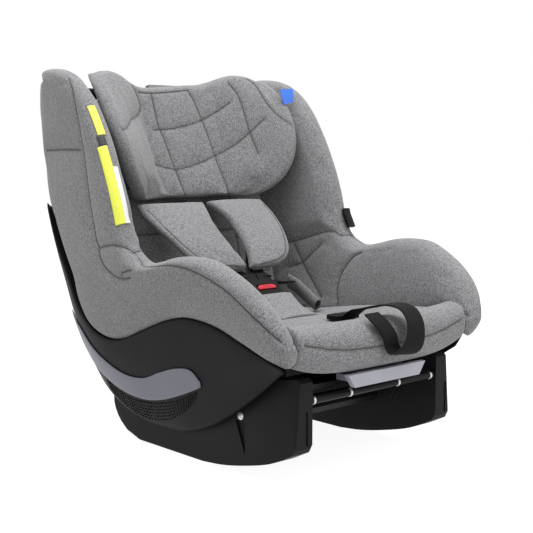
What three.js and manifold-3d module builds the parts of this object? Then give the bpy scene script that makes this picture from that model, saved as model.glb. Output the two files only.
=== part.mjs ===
// Convertible child car seat on its own rocker base: a reclining bucket seat with an adjustable headrest,
// a five-point harness and a two-skid base. Millimetres, +Z up, the seat faces -Y, symmetric about X = 0.
import * as THREE from 'three';
import Module from 'manifold-3d';
import { mergeVertices } from 'three/addons/utils/BufferGeometryUtils.js';

const wasm = await Module();
wasm.setup();

// ---- Driving dimensions ------------------------------------------------------------------------------
const GAP = 0.4;                            // running gap between neighbouring pieces
const CENTRE_Y = 9.4;                       // puts the middle of the whole box at Y = 0
const PIVOT = { y: 48, z: 262 };            // virtual axis that the seat rocks about, along X
const CRADLE_R = 203;                       // running surface of the skids
const BELLY_R = 199;                        // outside of the bucket's round belly
const SHELL_T = 4;                          // wall of the plastic mouldings
const SKID_IN = 119;                        // inner face of a skid
const SKID_OUT = 148;                       // outer face of a skid
const PAD_HALF = 151;                       // half width of the seat and back pads
const BACK_TILT = THREE.MathUtils.degToRad(15.6);   // the backrest leans back by this much
const BUCKLE_TILT = THREE.MathUtils.degToRad(45);   // the buckle lies back on the crotch pad
const RACK_R = 216;                         // root of the recline rack's notches
const LATCH_ANGLE = -17;                    // where the latch bar meets the rack, from straight down
const BACK_TURN = 6;                        // how far the shell's back corners turn forward

// ---- Materials ---------------------------------------------------------------------------------------
const paint = (color, roughness, metalness) => new THREE.MeshStandardMaterial({ color, roughness, metalness });
const MELANGE = paint(0x8f9094, 0.95, 0);
const MELANGE_DARK = paint(0x6d6e72, 0.95, 0);
const CHARCOAL = paint(0x2a2a2f, 0.6, 0);
const BLACK = paint(0x19191b, 0.55, 0);
const WEBBING = paint(0x1d1d1f, 0.8, 0);
const LILAC_GREY = paint(0x8d8fa0, 0.5, 0);
const LIGHT_GREY = paint(0xbcbec8, 0.5, 0);
const STEEL = paint(0xc9cbcf, 0.3, 1);
const RED = paint(0xc4142d, 0.4, 0);
const BLUE = paint(0x4682e6, 0.8, 0);
const YELLOW = paint(0xe2ec52, 0.8, 0);
const FOAM = paint(0x3b3b3d, 0.95, 0);

// ---- Geometry helpers --------------------------------------------------------------------------------
const { lerp, clamp } = THREE.MathUtils;
const V = (x, y, z) => new THREE.Vector3(x, y, z);
const seat = new THREE.Group();
seat.position.y = CENTRE_Y;

// Turns a list of points and triangles into a closed geometry whose faces point out.
function solid(points, triangles) {
  let volume = 0;
  for (const [a, b, c] of triangles) {
    volume += points[a].dot(V(0, 0, 0).crossVectors(points[b], points[c]));
  }
  const faces = volume > 0 ? triangles : triangles.map(([a, b, c]) => [a, c, b]);
  const geometry = new THREE.BufferGeometry();
  geometry.setAttribute('position', new THREE.Float32BufferAttribute(points.flatMap((p) => p.toArray()), 3));
  geometry.setIndex(faces.flat());
  return geometry;
}

// A skin between two surfaces: front(u, v) and back(u, v), u and v from 0 to 1.
function slab(front, back, nu, nv) {
  const points = [];
  const triangles = [];
  for (const surface of [front, back]) {
    for (let j = 0; j <= nv; j += 1) {
      for (let i = 0; i <= nu; i += 1) {
        points.push(surface(i / nu, j / nv));
      }
    }
  }
  const at = (side, i, j) => side * (nu + 1) * (nv + 1) + j * (nu + 1) + i;
  const quad = (a, b, c, d) => triangles.push([a, b, c], [a, c, d]);
  for (let j = 0; j < nv; j += 1) {
    for (let i = 0; i < nu; i += 1) {
      quad(at(0, i, j), at(0, i + 1, j), at(0, i + 1, j + 1), at(0, i, j + 1));
      quad(at(1, i, j + 1), at(1, i + 1, j + 1), at(1, i + 1, j), at(1, i, j));
    }
  }
  for (let i = 0; i < nu; i += 1) {
    quad(at(1, i, 0), at(1, i + 1, 0), at(0, i + 1, 0), at(0, i, 0));
    quad(at(0, i, nv), at(0, i + 1, nv), at(1, i + 1, nv), at(1, i, nv));
  }
  for (let j = 0; j < nv; j += 1) {
    quad(at(0, 0, j), at(0, 0, j + 1), at(1, 0, j + 1), at(1, 0, j));
    quad(at(1, nu, j), at(1, nu, j + 1), at(0, nu, j + 1), at(0, nu, j));
  }
  return solid(points, triangles);
}

// A solid through a row of rings that all have the same number of points, closed by fans at both ends.
function loft(rings) {
  const count = rings[0].length;
  const points = rings.flat();
  const triangles = [];
  for (let r = 0; r < rings.length - 1; r += 1) {
    for (let i = 0; i < count; i += 1) {
      const a = r * count + i;
      const b = r * count + ((i + 1) % count);
      triangles.push([a, b, b + count], [a, b + count, a + count]);
    }
  }
  for (const [start, flip] of [[0, true], [(rings.length - 1) * count, false]]) {
    const middle = V(0, 0, 0);
    for (let i = 0; i < count; i += 1) {
      middle.addScaledVector(points[start + i], 1 / count);
    }
    points.push(middle);
    const hub = points.length - 1;
    for (let i = 0; i < count; i += 1) {
      const a = start + i;
      const b = start + ((i + 1) % count);
      triangles.push(flip ? [b, a, hub] : [a, b, hub]);
    }
  }
  return solid(points, triangles);
}

// Straight-line reading of a table of rows at an even spacing, t from 0 to 1.
function table(rows, t) {
  const place = clamp(t, 0, 1) * (rows.length - 1);
  const i = Math.min(Math.floor(place), rows.length - 2);
  return rows[i].map((value, k) => lerp(value, rows[i + 1][k], place - i));
}

// Smooth reading of a list of points as a Catmull-Rom curve.
function curve(points) {
  const path = new THREE.CatmullRomCurve3(points.map((p) => V(...p)), false, 'centripetal');
  return (t) => path.getPoint(clamp(t, 0, 1));
}

// An outline in the YZ plane pushed along X from x0 to x1.
function extrudeX(outline, x0, x1) {
  const shape = new THREE.Shape(outline.map(([y, z]) => new THREE.Vector2(y, z)));
  const geometry = new THREE.ExtrudeGeometry(shape, { depth: x1 - x0, bevelEnabled: false });
  // Shape X becomes Y, shape Y becomes Z, and the depth becomes X.
  geometry.applyMatrix4(new THREE.Matrix4().set(0, 0, 1, x0, 1, 0, 0, 0, 0, 1, 0, 0, 0, 0, 0, 1));
  return geometry;
}

// Points on the circle about the pivot, by angle from straight down, positive towards the back.
function onPivot(radius, degrees) {
  const a = THREE.MathUtils.degToRad(degrees);
  return [PIVOT.y + radius * Math.sin(a), PIVOT.z - radius * Math.cos(a)];
}

function arc(radius, from, to, steps) {
  return Array.from({ length: steps + 1 }, (_, i) => onPivot(radius, lerp(from, to, i / steps)));
}

function box(width, depth, height) {
  return new THREE.BoxGeometry(width, depth, height);
}

// A rounded plate: width along X, height along Y, thickness along Z, centred on the origin.
function roundedPlate(width, height, thickness, radius, taper = 1) {
  const shape = new THREE.Shape();
  const [w, h] = [width / 2, height / 2];
  const corners = [[-w * taper, -h], [w * taper, -h], [w, h], [-w, h]];
  corners.forEach(([x, y], i) => {
    const before = new THREE.Vector2(...corners[(i + 3) % 4]);
    const after = new THREE.Vector2(...corners[(i + 1) % 4]);
    const corner = new THREE.Vector2(x, y);
    const into = corner.clone().add(before.sub(corner).setLength(radius));
    const out = corner.clone().add(after.sub(corner).setLength(radius));
    if (i === 0) {
      shape.moveTo(into.x, into.y);
    } else {
      shape.lineTo(into.x, into.y);
    }
    shape.quadraticCurveTo(corner.x, corner.y, out.x, out.y);
  });
  shape.closePath();
  const geometry = new THREE.ExtrudeGeometry(shape, { depth: thickness, bevelEnabled: false, curveSegments: 4 });
  return geometry.translate(0, 0, -thickness / 2);
}

// Boolean work on two closed geometries.
function boolean(first, second, work) {
  const [a, b] = [first, second].map((geometry) => {
    const bare = geometry.clone();
    bare.deleteAttribute('normal');
    bare.deleteAttribute('uv');
    const merged = mergeVertices(bare, 1e-4);
    const mesh = { numProp: 3, vertProperties: merged.attributes.position.array, triVerts: merged.index.array };
    return new wasm.Manifold(new wasm.Mesh({ ...mesh, triVerts: Uint32Array.from(mesh.triVerts) }));
  });
  const result = a[work](b).getMesh();
  const geometry = new THREE.BufferGeometry();
  geometry.setAttribute('position', new THREE.Float32BufferAttribute(result.vertProperties, 3));
  geometry.setIndex(Array.from(result.triVerts));
  return geometry;
}

function add(name, geometry, material) {
  const mesh = new THREE.Mesh(geometry, material);
  mesh.name = name;
  seat.add(mesh);
  return mesh;
}

// Makes a left and a right copy: build(side) is called with -1 for the seat's -X side and +1 for +X.
function pair(name, build, material) {
  add(`${name}_left`, build(-1), material);
  add(`${name}_right`, build(1), material);
}

// ---- Side outlines of the bucket ---------------------------------------------------------------------
// Rows run from the top of the wing, down its front edge and along the armrest to the front corner.
// Each row: crest y, z; lower edge y, z; thickness; middle |x| at the crest; middle |x| at the lower edge;
// height of the lower edge on the inside, where the cover runs down beside the seat pad.
const SIDE = [
  [240, 533, 262, 521, 16, 197, 187, 521],
  [222, 537, 266, 508, 30, 201, 182, 508],
  [180, 534, 270, 480, 36, 205, 179, 480],
  [138, 517, 268, 440, 36, 208, 178, 440],
  [103, 486, 261, 395, 36, 209, 178, 395],
  [70, 437, 250, 343, 36, 209, 179, 343],
  [48, 392, 231, 307, 37, 209, 180, 307],
  [33, 352, 207, 269, 39, 208, 181, 262],
  [22, 315, 183, 236, 41, 207, 182, 224],
  [6, 285, 160, 200, 44, 207, 182, 186],
  [-25, 272, 125, 170, 46, 207, 182, 158],
  [-57, 276, 80, 158, 46, 207, 182, 152],
  [-90, 284, 35, 166, 46, 207, 182, 152],
  [-124, 287, -7, 183, 46, 207, 182, 157],
  [-158, 284, -54, 200, 46, 206, 182, 164],
  [-192, 270, -100, 208, 46, 202, 181, 170],
  [-222, 252, -150, 202, 44, 198, 179, 174],
  [-246, 230, -197, 185, 42, 193, 176, 176],
  [-261, 205, -235, 170, 38, 187, 173, 170],
  [-267, 184, -258, 163, 30, 181, 171, 163],
];

// A point of the padded side cover. t runs along the rows, and around runs once about the section.
function sideSection(row, side) {
  const [cy, cz, ly, lz, thick, cx, lx, insideZ] = row;
  const length = Math.hypot(ly - cy, lz - cz);
  const half = thick / 2;
  const nose = Math.min(half, length * 0.45) / length;
  const ring = [];
  const put = (f, offset, endZ = lz) => {
    const x = lerp(cx, lx, f) + offset;
    ring.push(V(side * x, lerp(cy, ly, f), lerp(cz, endZ, f)));
  };
  for (const f of [0.98, 0.75, 0.5, 0.3]) {
    put(Math.max(f, nose), half);
  }
  for (const a of [60, 30, 0, -30, -60]) {
    const r = THREE.MathUtils.degToRad(a);
    put(nose * (1 - Math.cos(r)), half * Math.sin(r));
  }
  for (const f of [0.3, 0.5, 0.75, 0.98]) {
    put(Math.max(f, nose), -half, insideZ);
  }
  put(0.98, 0);
  return ring;
}

pair('side_cover', (side) => {
  const rings = [];
  const steps = 27;
  for (let i = 0; i <= steps; i += 1) {
    rings.push(sideSection(table(SIDE, i / steps), side));
  }
  return loft(rings);
}, MELANGE);

// ---- Plastic side panels -----------------------------------------------------------------------------
// Each row: upper edge y, z; lower edge y, z; outer |x| at the upper and at the lower edge.
const PANEL = [
  [249, 340, 257, 330, 197, 178],
  [231, 306, 254, 288, 200, 166],
  [207, 268, 247, 240, 202, 161],
  [183, 235, 238, 200, 203, 159],
  [160, 199, 222, 158, 204, 157],
  [136, 175, 200, 116, 204, 157],
  [107, 161, 160, 72, 204, 157],
  [74, 157, 112, 46, 204, 157],
  [41, 163, 62, 35, 204, 157],
  [-7, 182, 10, 33, 204, 157],
  [-54, 199, -40, 37, 204, 157],
  [-95, 207, -90, 54, 203, 158],
  [-149, 201, -140, 81, 200, 162],
  [-197, 184, -190, 112, 196, 168],
  [-240, 167, -235, 143, 190, 176],
  [-258, 161, -257, 156, 188, 184],
];

// The panel's outside: t along the rows, f from the upper edge (0) to the lower edge (1).
function panelPoint(side, t, f, inward) {
  const [uy, uz, ly, lz, ux, lx] = table(PANEL, t);
  const x = lerp(ux, lx, f ** 1.6) - inward;
  return V(side * x, lerp(uy, ly, f), lerp(uz, lz, f));
}

pair('side_panel', (side) => slab(
  (u, v) => panelPoint(side, u, lerp(0.01, 1, v), 0),
  (u, v) => panelPoint(side, u, lerp(0.01, 1, v), SHELL_T),
  30,
  7,
), CHARCOAL);

// Finds the panel's f and t for a place in the side view, so that trim can lie on its surface.
function panelX(y, z) {
  let best = [1e9, 0];
  for (let i = 0; i <= 120; i += 1) {
    const [uy, uz, ly, lz, ux, lx] = table(PANEL, i / 120);
    const dy = ly - uy;
    const dz = lz - uz;
    const f = clamp(((y - uy) * dy + (z - uz) * dz) / (dy * dy + dz * dz), 0, 1);
    const distance = Math.hypot(uy + f * dy - y, uz + f * dz - z);
    if (distance < best[0]) {
      best = [distance, lerp(ux, lx, f ** 1.6)];
    }
  }
  return best[1];
}

// ---- Swoosh-shaped trim and the slotted grille under it ----------------------------------------------
const TRIM_T = 2.2;
const TRIM_LIFT = 1.2;                      // clears the facets of the panel under the trim
const TRIM_LOWER = [[0, 191, 180], [0, 184, 158], [0, 170, 132], [0, 140, 104], [0, 104, 87], [0, 65, 77],
  [0, 25, 75], [0, -15, 82], [0, -55, 95], [0, -88, 108], [0, -101, 114]];
const TRIM_UPPER = [[0, 193, 184], [0, 178, 172], [0, 156, 159], [0, 130, 138], [0, 97, 121], [0, 54, 108],
  [0, 15, 109], [0, -25, 123], [0, -62, 134], [0, -90, 135], [0, -103, 121]];
const trimLower = curve(TRIM_LOWER);
const trimUpper = curve(TRIM_UPPER);
const trimPoint = (side, u, v, lift) => {
  const p = trimLower(u).lerp(trimUpper(u), v);
  return V(side * (panelX(p.y, p.z) + lift), p.y, p.z);
};

pair('side_trim', (side) => slab(
  (u, v) => trimPoint(side, u, v, TRIM_LIFT + TRIM_T),
  (u, v) => trimPoint(side, u, v, TRIM_LIFT),
  22,
  3,
), LILAC_GREY);

pair('vent_grille', (side) => {
  const low = curve([[0, 135, 74], [0, 110, 55], [0, 80, 44], [0, 44, 40], [0, 2, 46], [0, -32, 59], [0, -63, 78],
    [0, -86, 99]]);
  const high = curve([[0, 130, 92], [0, 101, 79], [0, 70, 71], [0, 37, 70], [0, 0, 75], [0, -37, 84], [0, -71, 97],
    [0, -92, 106]]);
  const point = (u, v, lift) => {
    const p = low(u).lerp(high(u), v);
    return V(side * (panelX(p.y, p.z) + lift), p.y, p.z);
  };
  return slab((u, v) => point(u, v, TRIM_LIFT + 1), (u, v) => point(u, v, TRIM_LIFT), 18, 2);
}, BLACK);

// ---- Bucket back and belly ---------------------------------------------------------------------------
// Outside of the shell on the centre line, from the top of the back, round the belly to the front.
const BACK_LINE = [[0, 254, 512], [0, 264, 470], [0, 262, 420], [0, 257, 360], [0, 250, 300], [0, 243, 250],
  [0, ...onPivot(BELLY_R, 70)], [0, ...onPivot(BELLY_R, 52)], [0, ...onPivot(BELLY_R, 34)],
  [0, ...onPivot(BELLY_R, 14)], [0, ...onPivot(BELLY_R, -6)], [0, ...onPivot(BELLY_R, -26)],
  [0, ...onPivot(BELLY_R, -44)]];
const backLine = curve(BACK_LINE);
const BACK_HALF = [[136], [148], [154], [156], [157], [156], [152], [146], [146], [146], [146], [146], [146]];

// A point of the shell: u across, v along the line, inset from the outside.
function backPoint(u, v, inset) {
  const p = backLine(v);
  const along = backLine(Math.min(v + 0.01, 1)).sub(backLine(Math.max(v - 0.01, 0))).normalize();
  const across = lerp(-1, 1, u);
  const turn = BACK_TURN * clamp((p.z - 190) / 120, 0, 1) * Math.abs(across) ** 5;
  return V(across * table(BACK_HALF, v)[0], p.y - turn + inset * along.z, p.z - inset * along.y);
}

// A window in the belly lets the recline latch lift off its rack.
const latchWindow = box(52, 20, 14)
  .rotateX(THREE.MathUtils.degToRad(-LATCH_ANGLE))
  .translate(0, ...onPivot(BELLY_R, LATCH_ANGLE));
const backShell = slab((u, v) => backPoint(u, v, 0), (u, v) => backPoint(u, v, SHELL_T), 14, 26);
add('back_shell', boolean(backShell, latchWindow, 'subtract'), CHARCOAL);

// ---- Foam core and the pads --------------------------------------------------------------------------
// Front of the backrest pad and top of the seat pad, on the centre line.
const SEAT_LINE = [[0, -204, 190], [0, -150, 187], [0, -80, 180], [0, -10, 169], [0, 50, 162], [0, 96, 165]];
const REST_LINE = [[0, 126, 184], [0, 140, 220], [0, 156, 270], [0, 172, 320], [0, 190, 380], [0, 207, 441],
  [0, 222, 496]];
const PAD_T = 18;
const seatLine = curve(SEAT_LINE);
const restLine = curve(REST_LINE);

add('seat_pad', slab(
  (u, v) => {
    const p = seatLine(v);
    const across = lerp(-1, 1, u);
    return V(across * PAD_HALF, p.y, p.z + 10 * across ** 4);
  },
  (u, v) => {
    const p = seatLine(v);
    return V(lerp(-1, 1, u) * PAD_HALF, p.y, p.z - PAD_T);
  },
  10,
  12,
), MELANGE);

add('backrest_pad', slab(
  (u, v) => {
    const p = restLine(v);
    const across = lerp(-1, 1, u);
    return V(across * PAD_HALF, p.y - 8 * across ** 4, p.z);
  },
  (u, v) => {
    const p = restLine(v);
    return V(lerp(-1, 1, u) * PAD_HALF, p.y + PAD_T, p.z);
  },
  10,
  12,
), MELANGE);

// The foam fills the space between the pads and the shell.
const FOAM_HALF = 138;
const foamOutline = [
  ...Array.from({ length: 9 }, (_, i) => seatLine(i / 8)).map((p) => [p.y, p.z - PAD_T - 1.5]),
  ...Array.from({ length: 9 }, (_, i) => restLine(i / 9)).map((p) => [p.y + PAD_T + 1.5, p.z]),
  ...Array.from({ length: 19 }, (_, i) => backPoint(0.5, lerp(0.14, 0.96, i / 18), 17)).map((p) => [p.y, p.z]),
  [-118, 147],
  [-160, 157],
];
add('foam_core', extrudeX(foamOutline, -FOAM_HALF, FOAM_HALF), FOAM);

// ---- Front lip -----------------------------------------------------------------------------------------
const LIP_HALF = 152;
const LIP_TOP = 203;
const LIP_BOTTOM = 140;
const LIP_RING = [[-216, 189], [-222, 198], [-234, LIP_TOP], [-248, 202], [-259, 195], [-265, 182], [-265, 165],
  [-262, 150], [-255, 141], [-245, LIP_BOTTOM], [-238, 150], [-236, 176]];
add('lip_cover', loft(Array.from({ length: 13 }, (_, i) => {
  const across = lerp(-1, 1, i / 12);
  // Towards the armrests the lip rises at the top and at the bottom, and its front bows back.
  return LIP_RING.map(([y, z]) => {
    const height = (z - LIP_BOTTOM) / (LIP_TOP - LIP_BOTTOM);
    return V(across * LIP_HALF, y + 5 * across ** 2, z + lerp(18, 5, height) * across ** 4);
  });
})), MELANGE);

// Plastic pan under the lip, which closes the front of the bucket and guides the recline handle.
const PAN_OUTLINE = [[-229, 160], [-229, 143], [-206, 141], [-150, 130], [-104, 127], [-118, 141], [-160, 151]];
const PAN_HALF = 152;
add('front_pan', extrudeX(PAN_OUTLINE, -PAN_HALF, PAN_HALF), CHARCOAL);

// ---- Base ------------------------------------------------------------------------------------------------
const SKID_OUTLINE = [
  [-242, 55], [-236, 44], [-197, 26], [-149, 13], [-102, 4], [-60, 0], [86, 0], [118, 9], [138, 24], [149, 42],
  [151, 60], [151, 84],
  ...arc(CRADLE_R, 29, -44, 16),
  [-104, 113], [-150, 123], [-205, 135], [-236, 139], [-242, 134],
];
const skid = (side) => (side < 0 ? extrudeX(SKID_OUTLINE, -SKID_OUT, -SKID_IN) : extrudeX(SKID_OUTLINE, SKID_IN, SKID_OUT));
const INSERT = { x: 134, z: 74, width: 14, height: 46 };   // recess in a skid's front face
const PIN = { y: -138, z: 77 };             // steel pin head over the tapered groove in a skid's side
// Wedge that bevels a skid's front outer corner, wide at the top.
const bevel = (side) => loft([[145, 214, 138.5], [44, 240, 146.5]].map(([z, back, inner]) => [
  V(side * (SKID_OUT + 1), -back, z),
  V(side * (SKID_OUT + 1), -244, z),
  V(side * inner, -244, z),
]));
pair('skid', (side) => {
  const pocket = box(INSERT.width, 10, INSERT.height).translate(side * INSERT.x, -242, INSERT.z);
  const [low, high] = [side * (SKID_OUT - 3), side * (SKID_OUT + 1)].sort((a, b) => a - b);
  const groove = extrudeX([[PIN.y + 9, 70], [PIN.y - 11, 72], [PIN.y - 9, 26]], low, high);
  const head = new THREE.CylinderGeometry(6.5, 6.5, 8, 20).rotateZ(Math.PI / 2);
  head.translate(side * (SKID_OUT + 1), PIN.y, PIN.z);
  return [pocket, groove, head, bevel(side)].reduce((body, cutter) => boolean(body, cutter, 'subtract'), skid(side));
}, CHARCOAL);

pair('foot_insert', (side) => (
  box(INSERT.width - 1, 3, INSERT.height - 1).translate(side * INSERT.x, -239, INSERT.z)
), BLACK);

pair('guide_pin', (side) => {
  const head = new THREE.CylinderGeometry(5.6, 5.6, 2.4, 20).rotateZ(Math.PI / 2);
  return head.translate(side * (SKID_OUT - 1.6), PIN.y, PIN.z);
}, STEEL);

const INNER = SKID_IN - GAP;                // half width of what spans between the skids
add('base_pan', extrudeX([...arc(CRADLE_R + 14, 20, -34, 14), ...arc(CRADLE_R + 18, -34, 20, 14)], -INNER, INNER), CHARCOAL);
add('front_beam', extrudeX([[-134, 64], [-126, 54], [-102, 50], [-94, 58], [-96, 72], [-126, 78]], -INNER, INNER), CHARCOAL);
add('rear_beam', extrudeX([[127, 27], [142, 42], [145, 66], [132, 68], [127, 58]], -INNER, INNER), CHARCOAL);

const dockBar = (y, z) => new THREE.CylinderGeometry(5, 5, 2 * INNER, 16).rotateZ(Math.PI / 2).translate(0, y, z);
add('dock_bar_front', dockBar(-235, 109), STEEL);
add('dock_bar_rear', dockBar(84, 26), STEEL);

// ---- Recline rack on the base pan, and the latch bar over it -------------------------------------------
const RACK_HALF = 16;
const NOTCHES = 5;
const rackOutline = () => {
  const outline = [...arc(RACK_R, 12, -34, 10)];
  for (let i = 0; i <= NOTCHES * 2; i += 1) {
    const radius = i % 2 === 0 ? RACK_R - 8 : RACK_R - 4;
    outline.push(onPivot(radius, lerp(-34, 12, i / (NOTCHES * 2))));
  }
  return outline;
};
add('recline_rack', extrudeX(rackOutline(), -RACK_HALF, RACK_HALF), STEEL);

const latchSpot = onPivot(RACK_R - 12.6, LATCH_ANGLE);
add('recline_latch', new THREE.CylinderGeometry(3.5, 3.5, 44, 16).rotateZ(Math.PI / 2).translate(0, ...latchSpot), STEEL);

// ---- Recline handle under the lip -----------------------------------------------------------------------
const HANDLE_Z = [121, 138];
const handleShape = () => {
  const shape = new THREE.Shape();
  shape.moveTo(-62, HANDLE_Z[0]);
  shape.lineTo(62, HANDLE_Z[0]);
  shape.lineTo(74, HANDLE_Z[1]);
  shape.lineTo(-74, HANDLE_Z[1]);
  shape.closePath();
  return new THREE.ExtrudeGeometry(shape, { depth: 8, bevelEnabled: false }).rotateX(Math.PI / 2).translate(0, -252, 0);
};
const handleShelf = box(118, 30, 8).translate(0, -239, 130);
add('recline_handle', boolean(handleShape(), handleShelf, 'add'), LIGHT_GREY);

// ---- Headrest --------------------------------------------------------------------------------------------
// v runs up the headrest: height on the centre line, half width of the inner face, how far the cheeks reach
// forward, and how far they rise.
const HEAD = [
  [344, 110, 16, 0],
  [353, 122, 38, 1],
  [372, 140, 60, 3],
  [398, 154, 75, 6],
  [426, 163, 80, 10],
  [454, 169, 76, 14],
  [480, 170, 66, 18],
  [499, 168, 50, 22],
  [509, 164, 38, 23],
  [513, 160, 30, 23],
];
const HEAD_FLAT = 0.4;                      // share of the half width that stays flat
const HEAD_BEND = 1.3;                      // how gently the cheeks turn forward
const HEAD_T = 26;                          // thickness on the centre line
const CHEEK_T = 24;                         // thickness of the cheeks
const HEAD_FRONT = 142;                     // centre of the headrest's lower front edge
const { smoothstep } = THREE.MathUtils;
function headPoint(u, v, depth) {
  const [z, half, reach, lift] = table(HEAD, v);
  const across = lerp(-1, 1, u);
  const wide = Math.abs(across);
  const turn = clamp((wide - HEAD_FLAT) / (1 - HEAD_FLAT), 0, 1);
  const slope = HEAD_BEND * turn ** (HEAD_BEND - 1) / (1 - HEAD_FLAT) * reach / half;
  const thick = depth * lerp(HEAD_T, CHEEK_T, turn) / Math.hypot(slope, 1);
  const rise = smoothstep(wide, 0.3, 0.75) - 0.42 * smoothstep(wide, 0.78, 1);
  const y = HEAD_FRONT + (z - HEAD[0][0]) * Math.tan(BACK_TILT) - reach * turn ** HEAD_BEND + thick;
  return V(Math.sign(across) * (half * wide + thick * slope), y, z + lift * rise);
}
add('headrest_pad', slab((u, v) => headPoint(u, v, 0), (u, v) => headPoint(u, v, 1), 20, 14), MELANGE);

// Pieces behind the headrest lean back with it. y is measured at the headrest's lower edge.
const behindHead = (geometry, y, z) => geometry
  .rotateX(-BACK_TILT)
  .translate(0, HEAD_FRONT + y + (z - HEAD[0][0]) * Math.tan(BACK_TILT), z);
add('headrest_shell', behindHead(roundedPlate(180, 156, 4, 18).rotateX(Math.PI / 2), HEAD_T + 3.4, 427), BLACK);
add('headrest_guide', behindHead(box(44, 3, 130), HEAD_T + 7.6, 415), CHARCOAL);
add('headrest_lever', behindHead(box(52, 9, 15), HEAD_T + 10.6, 511), LIGHT_GREY);
add('headrest_tab', box(1.2, 13, 13).rotateX(0.5).translate(187.5, 134, 497), BLUE);

// ---- Harness ---------------------------------------------------------------------------------------------
// The shoulder pads lie on one slope. s is the distance up it from the lower tip.
const SLOPE = { y: 4, z: 241, angle: THREE.MathUtils.degToRad(42.5), length: 152 };
const padOuter = curve([[14, 0, 0], [70, 8, 0], [97, 32, 0], [110, 76, 0], [114, 116, 0], [112, 148, 0]]);
const padInner = curve([[3, 3, 0], [9, 36, 0], [14, 72, 0], [13, 104, 0], [8, 130, 0], [4, 152, 0]]);
function slopePoint(x, s, lift) {
  const sag = 6 * Math.sin(Math.PI * clamp(s / SLOPE.length, 0, 1));
  const y = SLOPE.y + s * Math.cos(SLOPE.angle) - (lift + sag) * Math.sin(SLOPE.angle);
  const z = SLOPE.z + s * Math.sin(SLOPE.angle) + (lift + sag) * Math.cos(SLOPE.angle);
  return V(x, y, z);
}
pair('shoulder_pad', (side) => {
  const point = (u, v, lift) => {
    const p = padInner(v).lerp(padOuter(v), u);
    return slopePoint(side * p.x, p.y, lift);
  };
  return slab((u, v) => point(u, v, 0), (u, v) => point(u, v, -12), 6, 12);
}, MELANGE);

const strapRun = (points, width, thick) => {
  // A flat strap through points; each point is x, y, z.
  const path = curve(points);
  const steps = 10;
  const rings = [];
  for (let i = 0; i <= steps; i += 1) {
    const t = i / steps;
    const p = path(t);
    const along = path(Math.min(t + 0.02, 1)).sub(path(Math.max(t - 0.02, 0))).normalize();
    const across = V(1, 0, 0).addScaledVector(along, -along.x).normalize();
    const normal = V(0, 0, 0).crossVectors(across, along).normalize();
    rings.push([[-1, -1], [1, -1], [1, 1], [-1, 1]].map(([a, n]) => p.clone()
      .addScaledVector(across, a * width / 2).addScaledVector(normal, n * thick / 2)));
  }
  return loft(rings);
};

pair('shoulder_strap', (side) => strapRun([
  [side * 50, 121, 341], [side * 50, 138, 338], [side * 50, 158, 334],
], 38, 2), WEBBING);

// The buckle's own frame: origin at its top end, y' down along its face, z' out of its face.
const BUCKLE = { y: -14, z: 233, width: 54, length: 44, thick: 16 };
const onBuckle = (geometry, along, out) => geometry
  .rotateX(BUCKLE_TILT)
  .translate(0, BUCKLE.y - along * Math.cos(BUCKLE_TILT) - out * Math.sin(BUCKLE_TILT),
    BUCKLE.z - along * Math.sin(BUCKLE_TILT) + out * Math.cos(BUCKLE_TILT));
const buckleShell = onBuckle(
  roundedPlate(BUCKLE.width, BUCKLE.length, BUCKLE.thick, 10, 0.86),
  BUCKLE.length / 2,
  -BUCKLE.thick / 2,
);
const BUTTON = { width: 34, height: 10, along: 16 };
const buttonPocket = onBuckle(roundedPlate(BUTTON.width + 1, BUTTON.height + 1, 14, 4), BUTTON.along, -2);
add('buckle_body', boolean(buckleShell, buttonPocket, 'subtract'), BLACK);
add('buckle_button', onBuckle(roundedPlate(BUTTON.width, BUTTON.height, 5, 3.6), BUTTON.along, -1.4), RED);
pair('tongue', (side) => onBuckle(roundedPlate(24, 13, 3, 2), -7.2, -9).translate(side * 14, 0, 0), STEEL);

// The crotch pad runs down from the buckle's face to the seat pad, over its own strap.
const crotchFront = curve([[0, -38, 214], [0, -52, 205], [0, -66, 197], [0, -82, 190.5], [0, -98, 187.5]]);
const crotchBack = curve([[0, -38, 210.6], [0, -47, 202.8], [0, -60, 191], [0, -80, 186.6], [0, -98, 185]]);
const crotchPoint = (line, u, v, crown) => {
  const across = lerp(-1, 1, u);
  const p = line(v);
  return V(across * lerp(36, 34, v), p.y, p.z - crown * across ** 4);
};
add('crotch_pad', slab(
  (u, v) => crotchPoint(crotchFront, u, v, 1.5),
  (u, v) => crotchPoint(crotchBack, u, v, 0),
  6,
  8,
), MELANGE);
add('crotch_strap', strapRun([[0, -60, 180.9], [0, -84, 182.3], [0, -104, 184.2]], 34, 1.2), WEBBING);

// Padded sleeves round the lap belt: flat tubes that stand up from the seat beside the buckle.
const SLEEVE_WIDE = 27;
const SLEEVE_THICK = 9;
pair('hip_sleeve', (side) => {
  const path = curve([[side * 106, -22, 184], [side * 104, 2, 198], [side * 98, 26, 216]]);
  const wide = V(side * -0.35, -0.45, 0.62).normalize();
  const rings = [];
  for (let i = 0; i <= 8; i += 1) {
    const t = i / 8;
    const p = path(t);
    const along = path(Math.min(t + 0.05, 1)).sub(path(Math.max(t - 0.05, 0))).normalize();
    const thick = V(0, 0, 0).crossVectors(along, wide).normalize();
    const half = SLEEVE_WIDE / 2 * lerp(0.8, 1, t);
    rings.push(Array.from({ length: 12 }, (_, k) => p.clone()
      .addScaledVector(wide, half * Math.cos(k / 6 * Math.PI))
      .addScaledVector(thick, SLEEVE_THICK / 2 * Math.sin(k / 6 * Math.PI))));
  }
  return loft(rings);
}, MELANGE_DARK);

pair('lap_strap', (side) => strapRun([
  [side * 84, 20, 210], [side * 60, 8, 216], [side * 36, -2, 222],
], 20, 2), WEBBING);

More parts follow.
